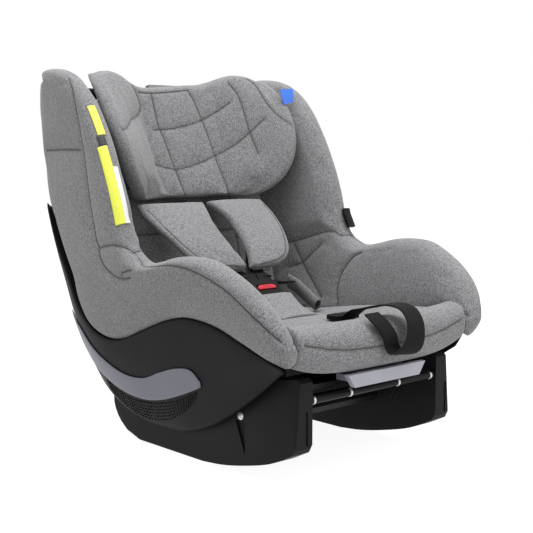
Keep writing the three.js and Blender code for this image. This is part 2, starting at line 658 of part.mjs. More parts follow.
// ---- Harness adjuster in the lip -------------------------------------------------------------------------
const SLOT = { y: -178, z: 196.5 };         // middle of the adjuster's frame
add('adjuster_housing', boolean(
  roundedPlate(46, 22, 6, 6).translate(0, SLOT.y, SLOT.z),
  box(30, 10, 12).translate(0, SLOT.y + 2, SLOT.z),
  'subtract',
), BLACK);
add('adjuster_button', box(29, 9, 6).translate(0, SLOT.y + 2, SLOT.z + 0.7), STEEL);

// The pull strap: over the lip, round in a loose loop and back. Each row: left edge, then right edge.
const PULL = [
  [-16, -190, 197, 16, -190, 197], [-16, -208, 204, 16, -208, 204], [-16, -228, 208, 15, -228, 208],
  [-10, -240, 214, 22, -240, 214], [1, -255, 219, 33, -255, 219], [11, -268, 214, 43, -268, 213],
  [12, -280, 200, 44, -280, 198], [8, -284, 184, 41, -285.6, 181], [0, -284, 170, 38, -285, 166],
  [-10, -280, 162, 32, -281, 158], [-16, -275, 161, 20, -275, 157], [-17, -269.5, 168, 12, -269.5, 166],
  [-27, -268.5, 184, 0, -268.5, 184], [-36, -262, 196, -8, -262, 197], [-40, -251, 206.5, -14, -251, 207],
];
const pullLeft = curve(PULL.map((row) => row.slice(0, 3)));
const pullRight = curve(PULL.map((row) => row.slice(3)));
const PULL_T = 2;
const pullNormal = (t) => {
  const along = pullLeft(Math.min(t + 0.01, 1)).sub(pullLeft(Math.max(t - 0.01, 0)));
  return V(0, 0, 0).crossVectors(along, pullRight(t).sub(pullLeft(t))).normalize();
};
const pullPoint = (u, t, lift) => pullLeft(t).lerp(pullRight(t), u).addScaledVector(pullNormal(t), lift);
add('adjuster_strap', slab(
  (u, v) => pullPoint(u, v, PULL_T / 2),
  (u, v) => pullPoint(u, v, -PULL_T / 2),
  2,
  42,
), WEBBING);

// ---- Small fittings ----------------------------------------------------------------------------------------
// A place on the side cover's outside: t along its rows, reach from the crest in mm, lifted off the cloth.
function coverPoint(side, t, reach, lift) {
  const [cy, cz, ly, lz, thick, cx, lx] = table(SIDE, t);
  const length = Math.hypot(ly - cy, lz - cz);
  const half = thick / 2;
  const angle = Math.min(reach / half, Math.PI / 2);
  const along = half * (1 - Math.cos(angle)) + Math.max(0, reach - half * Math.PI / 2) - lift * Math.cos(angle);
  const f = along / length;
  return V(side * (lerp(cx, lx, f) + (half + lift) * Math.sin(angle)), lerp(cy, ly, f), lerp(cz, lz, f));
}
const patch = (side, [t0, t1], [r0, r1], lift, thick) => slab(
  (u, v) => coverPoint(side, lerp(t0, t1, u), lerp(r0, r1, v), lift + thick),
  (u, v) => coverPoint(side, lerp(t0, t1, u), lerp(r0, r1, v), lift),
  16,
  5,
);
add('label_patch', patch(-1, [4.1 / 19, 7.9 / 19], [-3, 18], 1.6, 0.8), YELLOW);
add('belt_guide', patch(1, [7.8 / 19, 8.7 / 19], [-4, 8], 2.6, 5), BLACK);

export default seat;
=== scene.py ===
import math

import bpy
import numpy as np
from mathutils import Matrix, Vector
from mathutils.bvhtree import BVHTree
from mathutils.kdtree import KDTree


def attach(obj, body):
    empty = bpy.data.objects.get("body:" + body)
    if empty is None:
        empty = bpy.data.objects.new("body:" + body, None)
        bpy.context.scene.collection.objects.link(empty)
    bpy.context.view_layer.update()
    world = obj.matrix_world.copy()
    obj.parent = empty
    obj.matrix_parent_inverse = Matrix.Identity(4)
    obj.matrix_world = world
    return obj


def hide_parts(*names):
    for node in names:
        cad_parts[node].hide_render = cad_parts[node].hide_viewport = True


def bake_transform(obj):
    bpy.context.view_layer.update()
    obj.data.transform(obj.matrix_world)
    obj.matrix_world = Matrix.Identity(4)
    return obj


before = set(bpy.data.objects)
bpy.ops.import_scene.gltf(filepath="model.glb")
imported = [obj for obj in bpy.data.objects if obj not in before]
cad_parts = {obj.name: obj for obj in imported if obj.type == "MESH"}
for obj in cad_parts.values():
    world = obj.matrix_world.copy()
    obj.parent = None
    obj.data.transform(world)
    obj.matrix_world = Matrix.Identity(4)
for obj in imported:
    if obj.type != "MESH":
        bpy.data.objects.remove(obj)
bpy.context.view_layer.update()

# Looks of a convertible child car seat. Shapes are worked out in millimetres in the part's own layout
# (the seat faces -Y, X = 0 is its middle) and put into the frame, in metres, by place().
MM = 0.001
CENTRE_Y = 9.4                    # the part's own shift along Y
SIDES = {"left": -1, "right": 1}
STEP = 2.8                        # spacing of the cloth's fine grid
COARSE = 3                        # the simulated grid is this much coarser
PIVOT = (48, 262)                 # y, z of the axis that the seat rocks about
BACK_TILT = math.radians(15.6)
SIM_FRAMES = 20                   # length of the cloth simulation
LIGHT_AIM = Vector((0, 0, 0.25))  # metres, about the middle of the seat
FLOOR_HALF, FLOOR_Z = 6, -0.0006  # metres; just under the skids, so that the two don't share a plane


# ---- Camera, light and floor ----
def make_camera():
    data = bpy.data.cameras.new("camera")
    data.sensor_width = 36
    data.lens = 73.32
    data.clip_end = 50
    camera = bpy.data.objects.new("camera", data)
    camera.location = (-1.0411, -1.1715, 0.4215)
    look = Vector((0.66514, 0.73871, -0.10905))
    camera.rotation_euler = look.to_track_quat("-Z", "Y").to_euler()
    bpy.context.collection.objects.link(camera)
    bpy.context.scene.camera = camera


def make_light(name, spot, size, watts):
    data = bpy.data.lights.new(name, "AREA")
    data.shape = "DISK"
    data.size = size
    data.energy = watts
    light = bpy.data.objects.new(name, data)
    light.location = spot
    light.rotation_euler = (LIGHT_AIM - Vector(spot)).to_track_quat("-Z", "Y").to_euler()
    bpy.context.collection.objects.link(light)


def make_studio():
    world = bpy.data.worlds.new("studio")
    world.use_nodes = True
    background = world.node_tree.nodes["Background"].inputs
    background["Color"].default_value = (1, 1, 1, 1)
    background["Strength"].default_value = 1.0
    bpy.context.scene.world = world
    bpy.context.scene.view_settings.view_transform = "Standard"
    make_light("key", (0.1, -1.7, 2.4), 1.6, 20)
    make_light("top", (-0.2, 0.0, 2.4), 1.6, 62)
    make_light("front", (0.9, -2.3, 1.3), 1.4, 9)
    corners = ((-1, -1), (1, -1), (1, 1), (-1, 1))
    mesh = bpy.data.meshes.new("floor")
    mesh.from_pydata([(x * FLOOR_HALF, y * FLOOR_HALF, 0) for x, y in corners], [], [(0, 1, 2, 3)])
    floor = bpy.data.objects.new("floor", mesh)
    floor.location.z = FLOOR_Z
    bpy.context.collection.objects.link(floor)
    floor.data.materials.append(floor_paint())


# ---- Materials ----
class Paint:
    """A node-based material: add() makes a node, and feeds its inputs from sockets or plain values."""

    def __init__(self, name):
        self.material = bpy.data.materials.new(name)
        self.material.use_nodes = True
        self.tree = self.material.node_tree
        self.shader = self.tree.nodes["Principled BSDF"]

    def feed(self, socket, value):
        if isinstance(value, bpy.types.NodeSocket):
            self.tree.links.new(value, socket)
        else:
            socket.default_value = value

    def add(self, kind, inputs=None, **settings):
        node = self.tree.nodes.new(kind)
        for key, value in settings.items():
            setattr(node, key, value)
        for key, value in (inputs or {}).items():
            self.feed(node.inputs[key], value)
        return node.outputs

    def place(self, scale=(1, 1, 1), turn=(0, 0, 0)):
        where = self.add("ShaderNodeTexCoord")["Object"]
        return self.add("ShaderNodeMapping", {"Vector": where, "Scale": scale, "Rotation": turn})["Vector"]

    def noise(self, scale, stretch=(1, 1, 1), detail=2.0):
        settings = {"Vector": self.place(stretch), "Scale": scale, "Detail": detail}
        return self.add("ShaderNodeTexNoise", settings)[0]

    def mix(self, factor, first, second):
        node = self.tree.nodes.new("ShaderNodeMix")
        node.data_type = "RGBA"
        self.feed(node.inputs[0], factor)
        self.feed(node.inputs[6], first)
        self.feed(node.inputs[7], second)
        return node.outputs[2]

    def math(self, work, first, second):
        return self.add("ShaderNodeMath", {0: first, 1: second}, operation=work)[0]

    def share(self, first, second, part):
        """Both numbers added up, with second counting for part of the whole."""
        return self.math("ADD", self.math("MULTIPLY", first, 1 - part), self.math("MULTIPLY", second, part))

    def ramp(self, factor, low, high, from_value=0.0, to_value=1.0):
        values = {0: factor, 1: low, 2: high, 3: from_value, 4: to_value}
        return self.add("ShaderNodeMapRange", values)[0]

    def set(self, **values):
        for key, value in values.items():
            self.feed(self.shader.inputs[key.replace("_", " ")], value)

    def bump(self, height, depth, strength):
        settings = {"Height": height, "Distance": depth, "Strength": strength}
        self.set(Normal=self.add("ShaderNodeBump", settings)["Normal"])


def grey(value, tint=(1, 1, 1)):
    return tuple(value * t for t in tint) + (1,)


def heather(name, dark, light):
    """Woven melange cloth: dark and light threads in two directions, with fine fuzz, and painted shade along
    the seam grooves.
    """
    tint = (1, 1, 1.03)
    paint = Paint(name)
    threads = paint.share(paint.noise(1, (240, 1100, 1300)), paint.noise(1, (1100, 1000, 250)), 0.5)
    mixed = paint.share(threads, paint.noise(600), 0.35)
    colour = paint.mix(paint.ramp(mixed, 0.42, 0.59), grey(dark, tint), grey(light, tint))
    patchy = paint.ramp(paint.noise(14, detail=3), 0.3, 0.7, 0.0, 0.16)
    colour = paint.mix(patchy, colour, grey(dark, tint))
    # Painted shade: the colour darkens along the seam grooves, standing for the shade in the creases.
    seam_groove_shade = paint.add("ShaderNodeAttribute", attribute_name="seam_groove_shade")["Fac"]
    colour = paint.mix(paint.math("MULTIPLY", seam_groove_shade, 0.55), colour, grey(dark * 0.35, tint))
    paint.set(Base_Color=colour, Roughness=paint.ramp(mixed, 0.3, 0.7, 0.82, 0.98))
    paint.set(Sheen_Weight=0.15, Sheen_Roughness=0.6, Specular_IOR_Level=0.2)
    paint.bump(mixed, 0.0006, 0.5)
    return paint.material


def woven_tape(name, colour):
    """Tightly woven webbing: fine diagonal twill with a little shine on the threads."""
    paint = Paint(name)
    settings = {"Vector": paint.place(turn=(0.6, 0.7, 0.4)), "Scale": 1600 / 6.28, "Distortion": 0.6}
    height = paint.share(paint.add("ShaderNodeTexWave", settings)["Fac"], paint.noise(1800), 0.3)
    paint.set(Base_Color=paint.mix(height, grey(colour * 0.6), grey(colour * 1.5, (1, 1, 1.08))))
    paint.set(Roughness=paint.ramp(height, 0, 1, 0.55, 0.8), Specular_IOR_Level=0.12)
    paint.bump(height, 0.0004, 0.5)
    return paint.material


def moulded(name, colour, roughness, tint=(1, 1, 1), depth=0.00006, wear=0.35, gloss=0.12):
    """Injection-moulded plastic: spark-eroded grain, soft mottling and slightly polished edges."""
    paint = Paint(name)
    fine = paint.noise(2600, detail=3)
    cloud = paint.noise(9, detail=3)
    edge = paint.ramp(paint.add("ShaderNodeNewGeometry")["Pointiness"], 0.52, 0.62)
    base = paint.mix(paint.ramp(cloud, 0.3, 0.7), grey(colour * 0.9, tint), grey(colour * 1.1, tint))
    worn = paint.math("MULTIPLY", edge, wear)
    rough = paint.math("ADD", paint.ramp(cloud, 0.3, 0.7, roughness - 0.04, roughness + 0.06),
                       paint.ramp(fine, 0.3, 0.7, -0.03, 0.03))
    paint.set(Base_Color=paint.mix(worn, base, grey(min(1, colour * 2.2), tint)), Roughness=rough)
    paint.set(Specular_IOR_Level=gloss)
    paint.bump(fine, depth, 0.6)
    return paint.material


def zinc(name):
    """Plated steel rod: drawn lines along the bar and faint blotches."""
    paint = Paint(name)
    drawn = paint.noise(1, (60, 2500, 2500), 3)
    blotch = paint.noise(60, detail=3)
    paint.set(Base_Color=paint.mix(blotch, grey(0.496), grey(0.682)))
    paint.set(Roughness=paint.ramp(drawn, 0.3, 0.7, 0.22, 0.42), Metallic=1.0)
    paint.bump(drawn, 0.00004, 0.5)
    return paint.material


def printed(name, colour, roughness=0.6):
    """Smooth woven label or rubbery tab with a fine rib."""
    paint = Paint(name)
    rib = paint.noise(1, (300, 2200, 2200))
    paint.set(Base_Color=paint.mix(rib, grey(0.86, colour), grey(1, colour)))
    paint.set(Roughness=paint.ramp(rib, 0.2, 0.8, roughness - 0.08, roughness + 0.08))
    paint.bump(rib, 0.0002, 0.4)
    return paint.material


def foam_paint(name):
    """Open foam: small round cells."""
    paint = Paint(name)
    cells = paint.add("ShaderNodeTexVoronoi", {"Vector": paint.place(), "Scale": 320.0})["Distance"]
    rough = paint.ramp(cells, 0, 1, 0.85, 0.98)
    paint.set(Base_Color=paint.mix(cells, grey(0.03), grey(0.07)), Roughness=rough)
    paint.bump(cells, 0.0008, 0.6)
    return paint.material


def floor_paint():
    paint = Paint("studio_floor")
    paint.set(Base_Color=paint.mix(paint.noise(3), grey(0.11), grey(0.12)), Roughness=0.9)
    paint.set(Emission_Color=(1, 1, 1, 1), Emission_Strength=0.93)
    return paint.material


PAINTS = {
    "cloth": heather("heather_cloth", 0.066, 0.225),
    "cloth_dark": heather("heather_cloth_dark", 0.045, 0.165),
    # Stitching thread, made near black partly as painted shade in the seam creases.
    "thread_and_crease_shade": heather("seam_thread_and_crease_shade", 0.012, 0.035),
    "charcoal": moulded("charcoal_moulding", 0.0045, 0.5, (1, 1, 1.2)),
    "grey": moulded("grey_moulding", 0.13, 0.5, (1, 1, 1.06)),
    "black": moulded("black_moulding", 0.005, 0.45),
    "lilac": moulded("lilac_paint", 0.11, 0.38, (0.97, 0.98, 1.22), depth=0.00003, wear=0.2, gloss=0.4),
    "pale": moulded("pale_moulding", 0.24, 0.42, (0.98, 0.98, 1.12), wear=0.1, gloss=0.4),
    "red": moulded("red_button", 0.36, 0.3, (1, 0.02, 0.06), depth=0.00002, wear=0.1, gloss=0.5),
    "zinc": zinc("zinc_plate"),
    "tape": woven_tape("black_webbing", 0.005),
    "yellow": printed("yellow_label", (0.60, 0.63, 0.06)),
    "white": printed("white_label", (0.6, 0.6, 0.62)),
    "ink": printed("black_label", (0.012, 0.012, 0.013)),
    "blue": printed("blue_tab", (0.03, 0.14, 0.60), 0.45),
    "foam": foam_paint("open_foam"),
}


# ---- Numbers and curves ----
def lerp(a, b, t):
    return a + (b - a) * t


def place(points):
    return (np.asarray(points, float) + (0, CENTRE_Y, 0)) * MM


def on_pivot(radius, degrees):
    a = np.radians(degrees)
    return PIVOT[0] + radius * np.sin(a), PIVOT[1] - radius * np.cos(a)


def arc(radius, start, end, steps):
    return [on_pivot(radius, a) for a in np.linspace(start, end, steps + 1)]


def catmull(rows, t):
    """Reads a list of points as a centripetal Catmull-Rom curve; t runs from 0 to 1, evenly by point."""
    p = np.asarray(rows, float)
    count = len(p) - 1
    spot = np.clip(np.asarray(t, float), 0, 1) * count
    i = np.minimum(spot.astype(int), count - 1)
    s = (spot - i)[..., None]
    p = np.vstack([2 * p[0] - p[1], p, 2 * p[-1] - p[-2]])
    a, b, c, d = p[i], p[i + 1], p[i + 2], p[i + 3]

    def gap(start, end):
        return np.maximum(np.sum((end - start) ** 2, -1, keepdims=True) ** 0.25, 1e-4)

    d0, d1, d2 = gap(a, b), gap(b, c), gap(c, d)
    m1 = ((b - a) / d0 - (c - a) / (d0 + d1) + (c - b) / d1) * d1
    m2 = ((c - b) / d1 - (d - b) / (d1 + d2) + (d - c) / d2) * d1
    cubic = 2 * b - 2 * c + m1 + m2
    return b + m1 * s + (3 * c - 3 * b - 2 * m1 - m2) * s ** 2 + cubic * s ** 3


def unit(vectors):
    length = np.linalg.norm(vectors, axis=-1, keepdims=True)
    return vectors / np.maximum(length, 1e-9)


def tree_of(points):
    tree = KDTree(len(points))
    for i, point in enumerate(points):
        tree.insert(point, i)
    tree.balance()
    return tree


def run_of(points, axis=0):
    """Distance along a row of points, from its start."""
    steps = np.linalg.norm(np.diff(points, axis=axis), axis=-1)
    zero = np.zeros_like(np.take(steps, [0], axis=axis))
    return np.concatenate([zero, np.cumsum(steps, axis=axis)], axis=axis)


def polyline(points, step=1.5):
    """Even points along a smooth curve through a few given ones."""
    dense = catmull(points, np.linspace(0, 1, 40 * len(points)))
    run = run_of(dense)
    at = np.linspace(0, run[-1], max(2, int(run[-1] / step) + 1))
    return np.stack([np.interp(at, run, dense[:, k]) for k in range(3)], 1)


def stations(length, step, edges=(0, 0)):
    """Places from 0 to 1 along a length: even steps, closer over a rounded edge at either end."""
    x = np.linspace(0, length, 600)
    spacing = np.full_like(x, step)
    for distance, radius in ((x, edges[0]), (length - x, edges[1])):
        if radius > 0:
            level = 1 - np.clip(distance / radius, 0, 1)
            spacing = np.minimum(spacing, step * np.maximum(np.sqrt(1 - level ** 2), 0.14))
    count = np.concatenate([[0], np.cumsum(np.diff(x) / ((spacing[1:] + spacing[:-1]) / 2))])
    steps = COARSE * max(2, math.ceil(count[-1] / COARSE))
    return np.interp(np.linspace(0, count[-1], steps + 1), count, x) / length


def spread(points, step, edges, part=1):
    """Where to read a curve, given by many points, so that stations() are laid over part of its length."""
    run = run_of(points)
    length = run[-1] * part
    return np.interp(stations(length, step, edges) * length, run, np.linspace(0, 1, len(points)))


def refine(rows, times):
    """Smooth in-between rows along the first axis: times steps for each old one."""
    count = len(rows) - 1
    spot = np.linspace(0, count, count * times + 1)
    i = np.minimum(spot.astype(int), count - 1)
    s = (spot - i).reshape((-1,) + (1,) * (rows.ndim - 1))
    p = np.concatenate([2 * rows[:1] - rows[1:2], rows, 2 * rows[-1:] - rows[-2:-1]])
    a, b, c, d = p[i], p[i + 1], p[i + 2], p[i + 3]
    square = a - 2.5 * b + 2 * c - 0.5 * d
    cube = -0.5 * a + 1.5 * b - 1.5 * c + 0.5 * d
    return b + 0.5 * s * (c - a) + square * s ** 2 + cube * s ** 3


# ---- Meshes ----
def quads(index, flip=False):
    """Faces of a grid of vertex numbers."""
    a, b, c, d = index[:-1, :-1], index[:-1, 1:], index[1:, 1:], index[1:, :-1]
    return np.stack([a, d, c, b] if flip else [a, b, c, d], -1).reshape(-1, 4)


def ringed(grid):
    """Points and faces of a row of rings, with a cap at either end."""
    count = grid.shape[1]
    index = np.arange(len(grid) * count).reshape(-1, count)
    faces = quads(np.concatenate([index, index[:, :1]], 1)).tolist()
    faces += [index[0].tolist()[::-1], index[-1].tolist()]
    return grid.reshape(-1, 3), faces


def volume(points, faces):
    """Positive or negative, by which way the faces of a closed mesh look; the size has no meaning."""
    a, b, c, d = (points[faces[:, k]] for k in range(4))
    return np.sum((np.cross(b - a, c - a) + np.cross(c - a, d - a)) * (a - points.mean(0)))


def normals_of(points, faces):
    a, b, c, d = (points[faces[:, k]] for k in range(4))
    flat = np.cross(c - a, d - b)
    total = np.zeros_like(points)
    for k in range(4):
        np.add.at(total, faces[:, k], flat)
    return unit(total)


def add_object(name, shape, paint, smooth=0):
    """A mesh piece from a Shell, or from points in millimetres and faces.

    Edges sharper than smooth degrees stay crisp; at 0 none do."""
    points, faces = (shape.points(), shape.faces) if isinstance(shape, Shell) else shape
    mesh = bpy.data.meshes.new(name)
    faces = faces.tolist() if isinstance(faces, np.ndarray) else faces
    mesh.from_pydata(place(points).tolist(), [], faces)
    mesh.update()
    mesh.polygons.foreach_set("use_smooth", [True] * len(mesh.polygons))
    if smooth:
        mesh.set_sharp_from_angle(angle=math.radians(smooth))
    obj = bpy.data.objects.new(name, mesh)
    bpy.context.collection.objects.link(obj)
    mesh.materials.append(PAINTS[paint])
    return obj


def finish_piece(obj, body, stands_for=()):
    """Puts a finished piece on its body and hides the CAD nodes that it stands for."""
    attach(obj, body)
    if stands_for:
        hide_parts(*stands_for)


def add_piece(name, shape, paint, body, *stands_for, smooth=0):
    finish_piece(add_object(name, shape, paint, smooth), body, stands_for)


class Shell:
    """A closed body between a front and a back grid of points, which meet in a rounded edge all round."""

    def __init__(self, front, back, radii):
        # radii: at the first and last row, then at the first and last column; a number, or one per point.
        middle, half = (front + back) / 2, (front - back) / 2
        keep = np.ones(front.shape[:2])
        for axis, (near, far) in ((0, radii[:2]), (1, radii[2:])):
            run = run_of(middle, axis)
            total = np.take(run, [-1], axis=axis)
            for distance, radius in ((run, near), (total - run, far)):
                share = np.clip(distance / np.maximum(radius, 1e-6), 0, 1)
                keep = keep * np.sqrt(np.maximum(1 - (1 - share) ** 2, 0))
        self.front = middle + half * keep[..., None]
        self.back = middle - half * keep[..., None]
        self.number()

    def number(self):
        rows, columns = self.front.shape[:2]
        self.front_index = np.arange(rows * columns).reshape(rows, columns)
        self.back_index = self.front_index.copy()
        inner = np.arange((rows - 2) * (columns - 2)).reshape(rows - 2, columns - 2)
        self.back_index[1:-1, 1:-1] = inner + rows * columns
        faces = np.concatenate([quads(self.front_index), quads(self.back_index, flip=True)])
        if volume(self.points(), faces) < 0:
            faces = faces[:, ::-1]
        self.faces = faces

    def points(self):
        return np.concatenate([self.front.reshape(-1, 3), self.back[1:-1, 1:-1].reshape(-1, 3)])

    def coarse(self):
        made = Shell.__new__(Shell)
        made.front, made.back = self.front[::COARSE, ::COARSE], self.back[::COARSE, ::COARSE]
        made.number()
        return made


def snap(lines, points, faces):
    """Lays given seam lines on a mesh: even points on its surface, with the surface's normals."""
    tree = BVHTree.FromPolygons(points.tolist(), faces.tolist())
    laid = []
    for line in lines:
        found = [tree.find_nearest(Vector(p)) for p in polyline(line)]
        laid.append((np.array([f[0] for f in found]), np.array([f[1] for f in found])))
    return laid


def distance_to(points, laid):
    tree = tree_of(np.concatenate([line[0] for line in laid]))
    return np.array([tree.find(p)[2] for p in points])


# ---- Cloth simulation ----
class Cushion:
    """A soft piece: its fine shell, its seams, and how it swells."""

    def __init__(self, shell, seams, pins, sink, cap=5.0, groove=1.3, width=3.4):
        # In mm: sink goes inwards after the swelling, which moves no point by more than cap.
        self.shell, self.seams, self.pins, self.sink = shell, seams, pins, sink
        self.cap, self.groove, self.width = cap, groove, width
        self.moved = None

    def pin_weights(self, coarse):
        """Stitched lines and the named borders hold still; 0 to 1 for each coarse vertex."""
        points = coarse.points()
        weight = np.zeros(len(points))
        if self.seams:
            laid = snap(self.seams, points, coarse.faces)
            weight = np.exp(-(distance_to(points, laid) / 5.0) ** 2)
        borders = {"first_row": (0, slice(None)), "last_row": (-1, slice(None)),
                   "first_column": (slice(None), 0), "last_column": (slice(None), -1)}
        for name in self.pins:
            if name == "back":
                weight[coarse.back_index.ravel()] = 1
            else:
                weight[coarse.front_index[borders[name]]] = 1
        return weight


CLOTH = {
    "quality": 5, "mass": 0.25, "tension_stiffness": 12, "compression_stiffness": 12, "shear_stiffness": 4,
    "bending_stiffness": 0.4, "use_pressure": True, "uniform_pressure_force": 4, "vertex_group_mass": "pin",
}


def simulate(cushions):
    """Swells all cushions in one run of Blender's cloth, and keeps each one's movement."""
    scene = bpy.context.scene
    scene.frame_start, scene.frame_end = 1, SIM_FRAMES
    runs = []
    for number, cushion in enumerate(cushions):
        coarse = cushion.shell.coarse()
        obj = add_object(f"sim_{number}", coarse, "cloth")
        group = obj.vertex_groups.new(name="pin")
        for i, weight in enumerate(cushion.pin_weights(coarse)):
            if weight > 0.02:
                group.add([i], float(weight), "REPLACE")
        cloth = obj.modifiers.new("cloth", "CLOTH")
        for setting, value in CLOTH.items():
            setattr(cloth.settings, setting, value)
        cloth.settings.effector_weights.gravity = 0
        cloth.point_cache.frame_start, cloth.point_cache.frame_end = 1, SIM_FRAMES
        runs.append((cushion, coarse, coarse.points(), obj))
    for step in range(1, SIM_FRAMES + 1):
        scene.frame_set(step)
    graph = bpy.context.evaluated_depsgraph_get()
    for cushion, coarse, start, obj in runs:
        result = np.zeros(len(start) * 3, np.float32)
        obj.evaluated_get(graph).data.vertices.foreach_get("co", result)
        move = result.reshape(-1, 3) / MM - (0, CENTRE_Y, 0) - start
        length = np.maximum(np.linalg.norm(move, axis=1, keepdims=True), 1e-6)
        move *= np.minimum(1, cushion.cap / length)
        move -= normals_of(start, coarse.faces) * cushion.sink
        cushion.moved = (move[coarse.front_index], move[coarse.back_index])
    for _, _, _, obj in runs:
        bpy.data.objects.remove(obj)
    scene.frame_set(1)


def tube(points, radius):
    """A closed tube with six sides along points."""
    points = np.asarray(points, float)
    along = unit(np.gradient(points, axis=0))
    helper = np.where(np.abs(along[:, :1]) < 0.8, (1, 0, 0), (0, 0, 1))
    side = unit(np.cross(along, helper))
    up = np.cross(side, along)
    angles = np.linspace(0, 2 * math.pi, 6, endpoint=False)
    rings = [points + radius * (side * math.cos(a) + up * math.sin(a)) for a in angles]
    return ringed(np.stack(rings, 1))


def join(parts):
    """Several lists of points and faces as one."""
    points, faces, offset = [], [], 0
    for some_points, some_faces in parts:
        points.append(some_points)
        faces += [[i + offset for i in face] for face in some_faces]
        offset += len(some_points)
    return np.concatenate(points), faces


def soft_piece(name, cushion, body, *stands_for):
    """Builds the final cloth: the swelled shell, the grooves along its seams with a painted shade mask, and
    the stitched lines in thread darkened partly as painted crease shade.
    """
    shell = cushion.shell
    if cushion.moved is not None:
        front, back = (np.swapaxes(refine(np.swapaxes(refine(move, COARSE), 0, 1), COARSE), 0, 1)
                       for move in cushion.moved)
        shell.front = shell.front + front
        shell.back = shell.back + back
    points = shell.points()
    laid = []
    seam_groove_shade = np.zeros(len(points))
    if cushion.seams:
        laid = snap(cushion.seams, points, shell.faces)
        normals = normals_of(points, shell.faces)
        seam_groove_shade = np.exp(-(distance_to(points, laid) / cushion.width) ** 2)
        points = points - normals * (cushion.groove * seam_groove_shade)[:, None]
    obj = add_object(name, (points, shell.faces), "cloth")
    # Painted shade: this mask darkens the cloth's colour in the seam grooves.
    groove_shade_layer = obj.data.attributes.new("seam_groove_shade", "FLOAT", "POINT")
    groove_shade_layer.data.foreach_set("value", seam_groove_shade.astype(np.float32) ** 3)
    finish_piece(obj, body, stands_for)
    # Stitched lines in the groove bottoms; their near-black colour is partly painted crease shade.
    lines = [tube(on - normal * (cushion.groove - 0.1), 0.55) for on, normal in laid if len(on) > 2]
    if lines:
        add_piece(name + "_seams", join(lines), "thread_and_crease_shade", body)


# ---- Side covers ----
# Rows from the top of the wing, down its front edge and along the armrest to the front corner.
# Each row: crest y, z; lower edge y, z; thickness; middle |x| at the crest; middle |x| at the lower edge;
# height of the lower edge on the inside.
SIDE = [
    (240, 533, 262, 521, 16, 197, 187, 521),
    (222, 537, 266, 508, 30, 201, 182, 508),
    (180, 534, 270, 480, 36, 205, 179, 480),
    (138, 517, 268, 440, 36, 208, 178, 440),
    (103, 486, 261, 395, 36, 209, 178, 395),
    (70, 437, 250, 343, 36, 209, 179, 343),
    (48, 392, 231, 307, 37, 209, 180, 307),
    (33, 352, 207, 269, 39, 208, 181, 262),
    (22, 315, 183, 236, 41, 207, 182, 224),
    (6, 285, 160, 200, 44, 207, 182, 186),
    (-25, 272, 125, 170, 46, 207, 182, 158),
    (-57, 276, 80, 158, 46, 207, 182, 152),
    (-90, 284, 35, 166, 46, 207, 182, 152),
    (-124, 287, -7, 183, 46, 207, 182, 157),
    (-158, 284, -54, 200, 46, 206, 182, 164),
    (-192, 270, -100, 208, 46, 202, 181, 170),
    (-222, 252, -150, 202, 44, 198, 179, 174),
    (-246, 230, -197, 185, 42, 193, 176, 176),
    (-261, 205, -235, 170, 38, 187, 173, 170),
    (-267, 184, -258, 163, 30, 181, 171, 163),
]


def side_point(t, reach, side):
    """A point on a side cover: t in rows from the top, reach in mm from the crest, outside positive."""
    cy, cz, ly, lz, thick, cx, lx, inside_z = catmull(SIDE, np.asarray(t, float) / (len(SIDE) - 1))
    half = thick / 2
    angle = min(abs(reach) / half, math.pi / 2)
    along = half * (1 - math.cos(angle)) + max(0, abs(reach) - half * math.pi / 2)
    f = along / math.hypot(ly - cy, lz - cz)
    x = lerp(cx, lx, f) + math.copysign(half * math.sin(angle), reach)
    return side * x, lerp(cy, ly, f), lerp(cz, inside_z if reach < 0 else lz, f)


OUTER_SEAMS = [
    [(2.8, 10), (3.4, 20), (4.1, 36), (4.6, 48), (5.4, 62), (6.1, 72), (6.6, 76), (7.2, 78), (7.8, 78),
     (8.1, 74)],
    [(3.8, 162), (4.4, 112), (4.9, 62)],
    [(8.1, 74), (8.2, 58), (8.5, 28), (8.8, 10), (9.1, 2), (9.7, 6)],
    [(8.1, 76), (8.4, 78), (8.8, 74), (9.3, 68), (9.9, 60), (10.3, 50)],
    [(10.0, 32), (9.8, 42), (9.7, 50), (9.9, 56)],
    [(9.7, 6), (10.2, 14), (11.3, 23), (12.5, 30), (13.9, 36), (15.4, 32), (16.7, 28), (17.5, 20), (18.4, 7)],
]
INNER_SEAMS = [
    [(7.9, -116), (8.1, -86), (8.3, -52), (8.6, -22), (8.9, -16), (9.1, 6)],
    [(8.1, -102), (8.7, -98), (9.4, -102), (10.2, -116), (11.3, -144)],
    [(8.8, -128), (9.0, -96), (8.9, -76), (8.8, -52)],
    [(11.0, -34), (10.8, -44), (10.9, -66), (11.2, -92), (11.8, -124), (12.6, -150)],
    [(15.2, -108), (15.8, -92), (16.2, -82), (16.6, -64), (17.0, -50), (17.6, -36), (18.4, -18)],
]


TUCK = 9                          # the cover's outside runs on behind the plastic panel by this much,
TUCK_ROWS = (8, 10)               # coming in between these rows of SIDE


def side_shell(side):
    us = spread(catmull(SIDE, np.linspace(0, 1, 800))[:, :2], STEP, (8, 3))
    u, v = np.meshgrid(us, stations(186, STEP, (21, 10)))
    cy, cz, ly, lz, thick, cx, lx, inside_z = np.moveaxis(catmull(SIDE, u), -1, 0)
    row = u * (len(SIDE) - 1)
    tuck = TUCK * smoothstep((row - TUCK_ROWS[0]) / (TUCK_ROWS[1] - TUCK_ROWS[0]))
    f = v * (1 + tuck / np.hypot(ly - cy, lz - cz))
    outside = np.stack([side * (lerp(cx, lx, f) + thick / 2), lerp(cy, ly, f), lerp(cz, lz, f)], -1)
    inside = np.stack([side * (lerp(cx, lx, v) - thick / 2), lerp(cy, ly, v), lerp(cz, inside_z, v)], -1)
    return Shell(outside, inside, (thick[:1] / 2, 14, 8, 3))


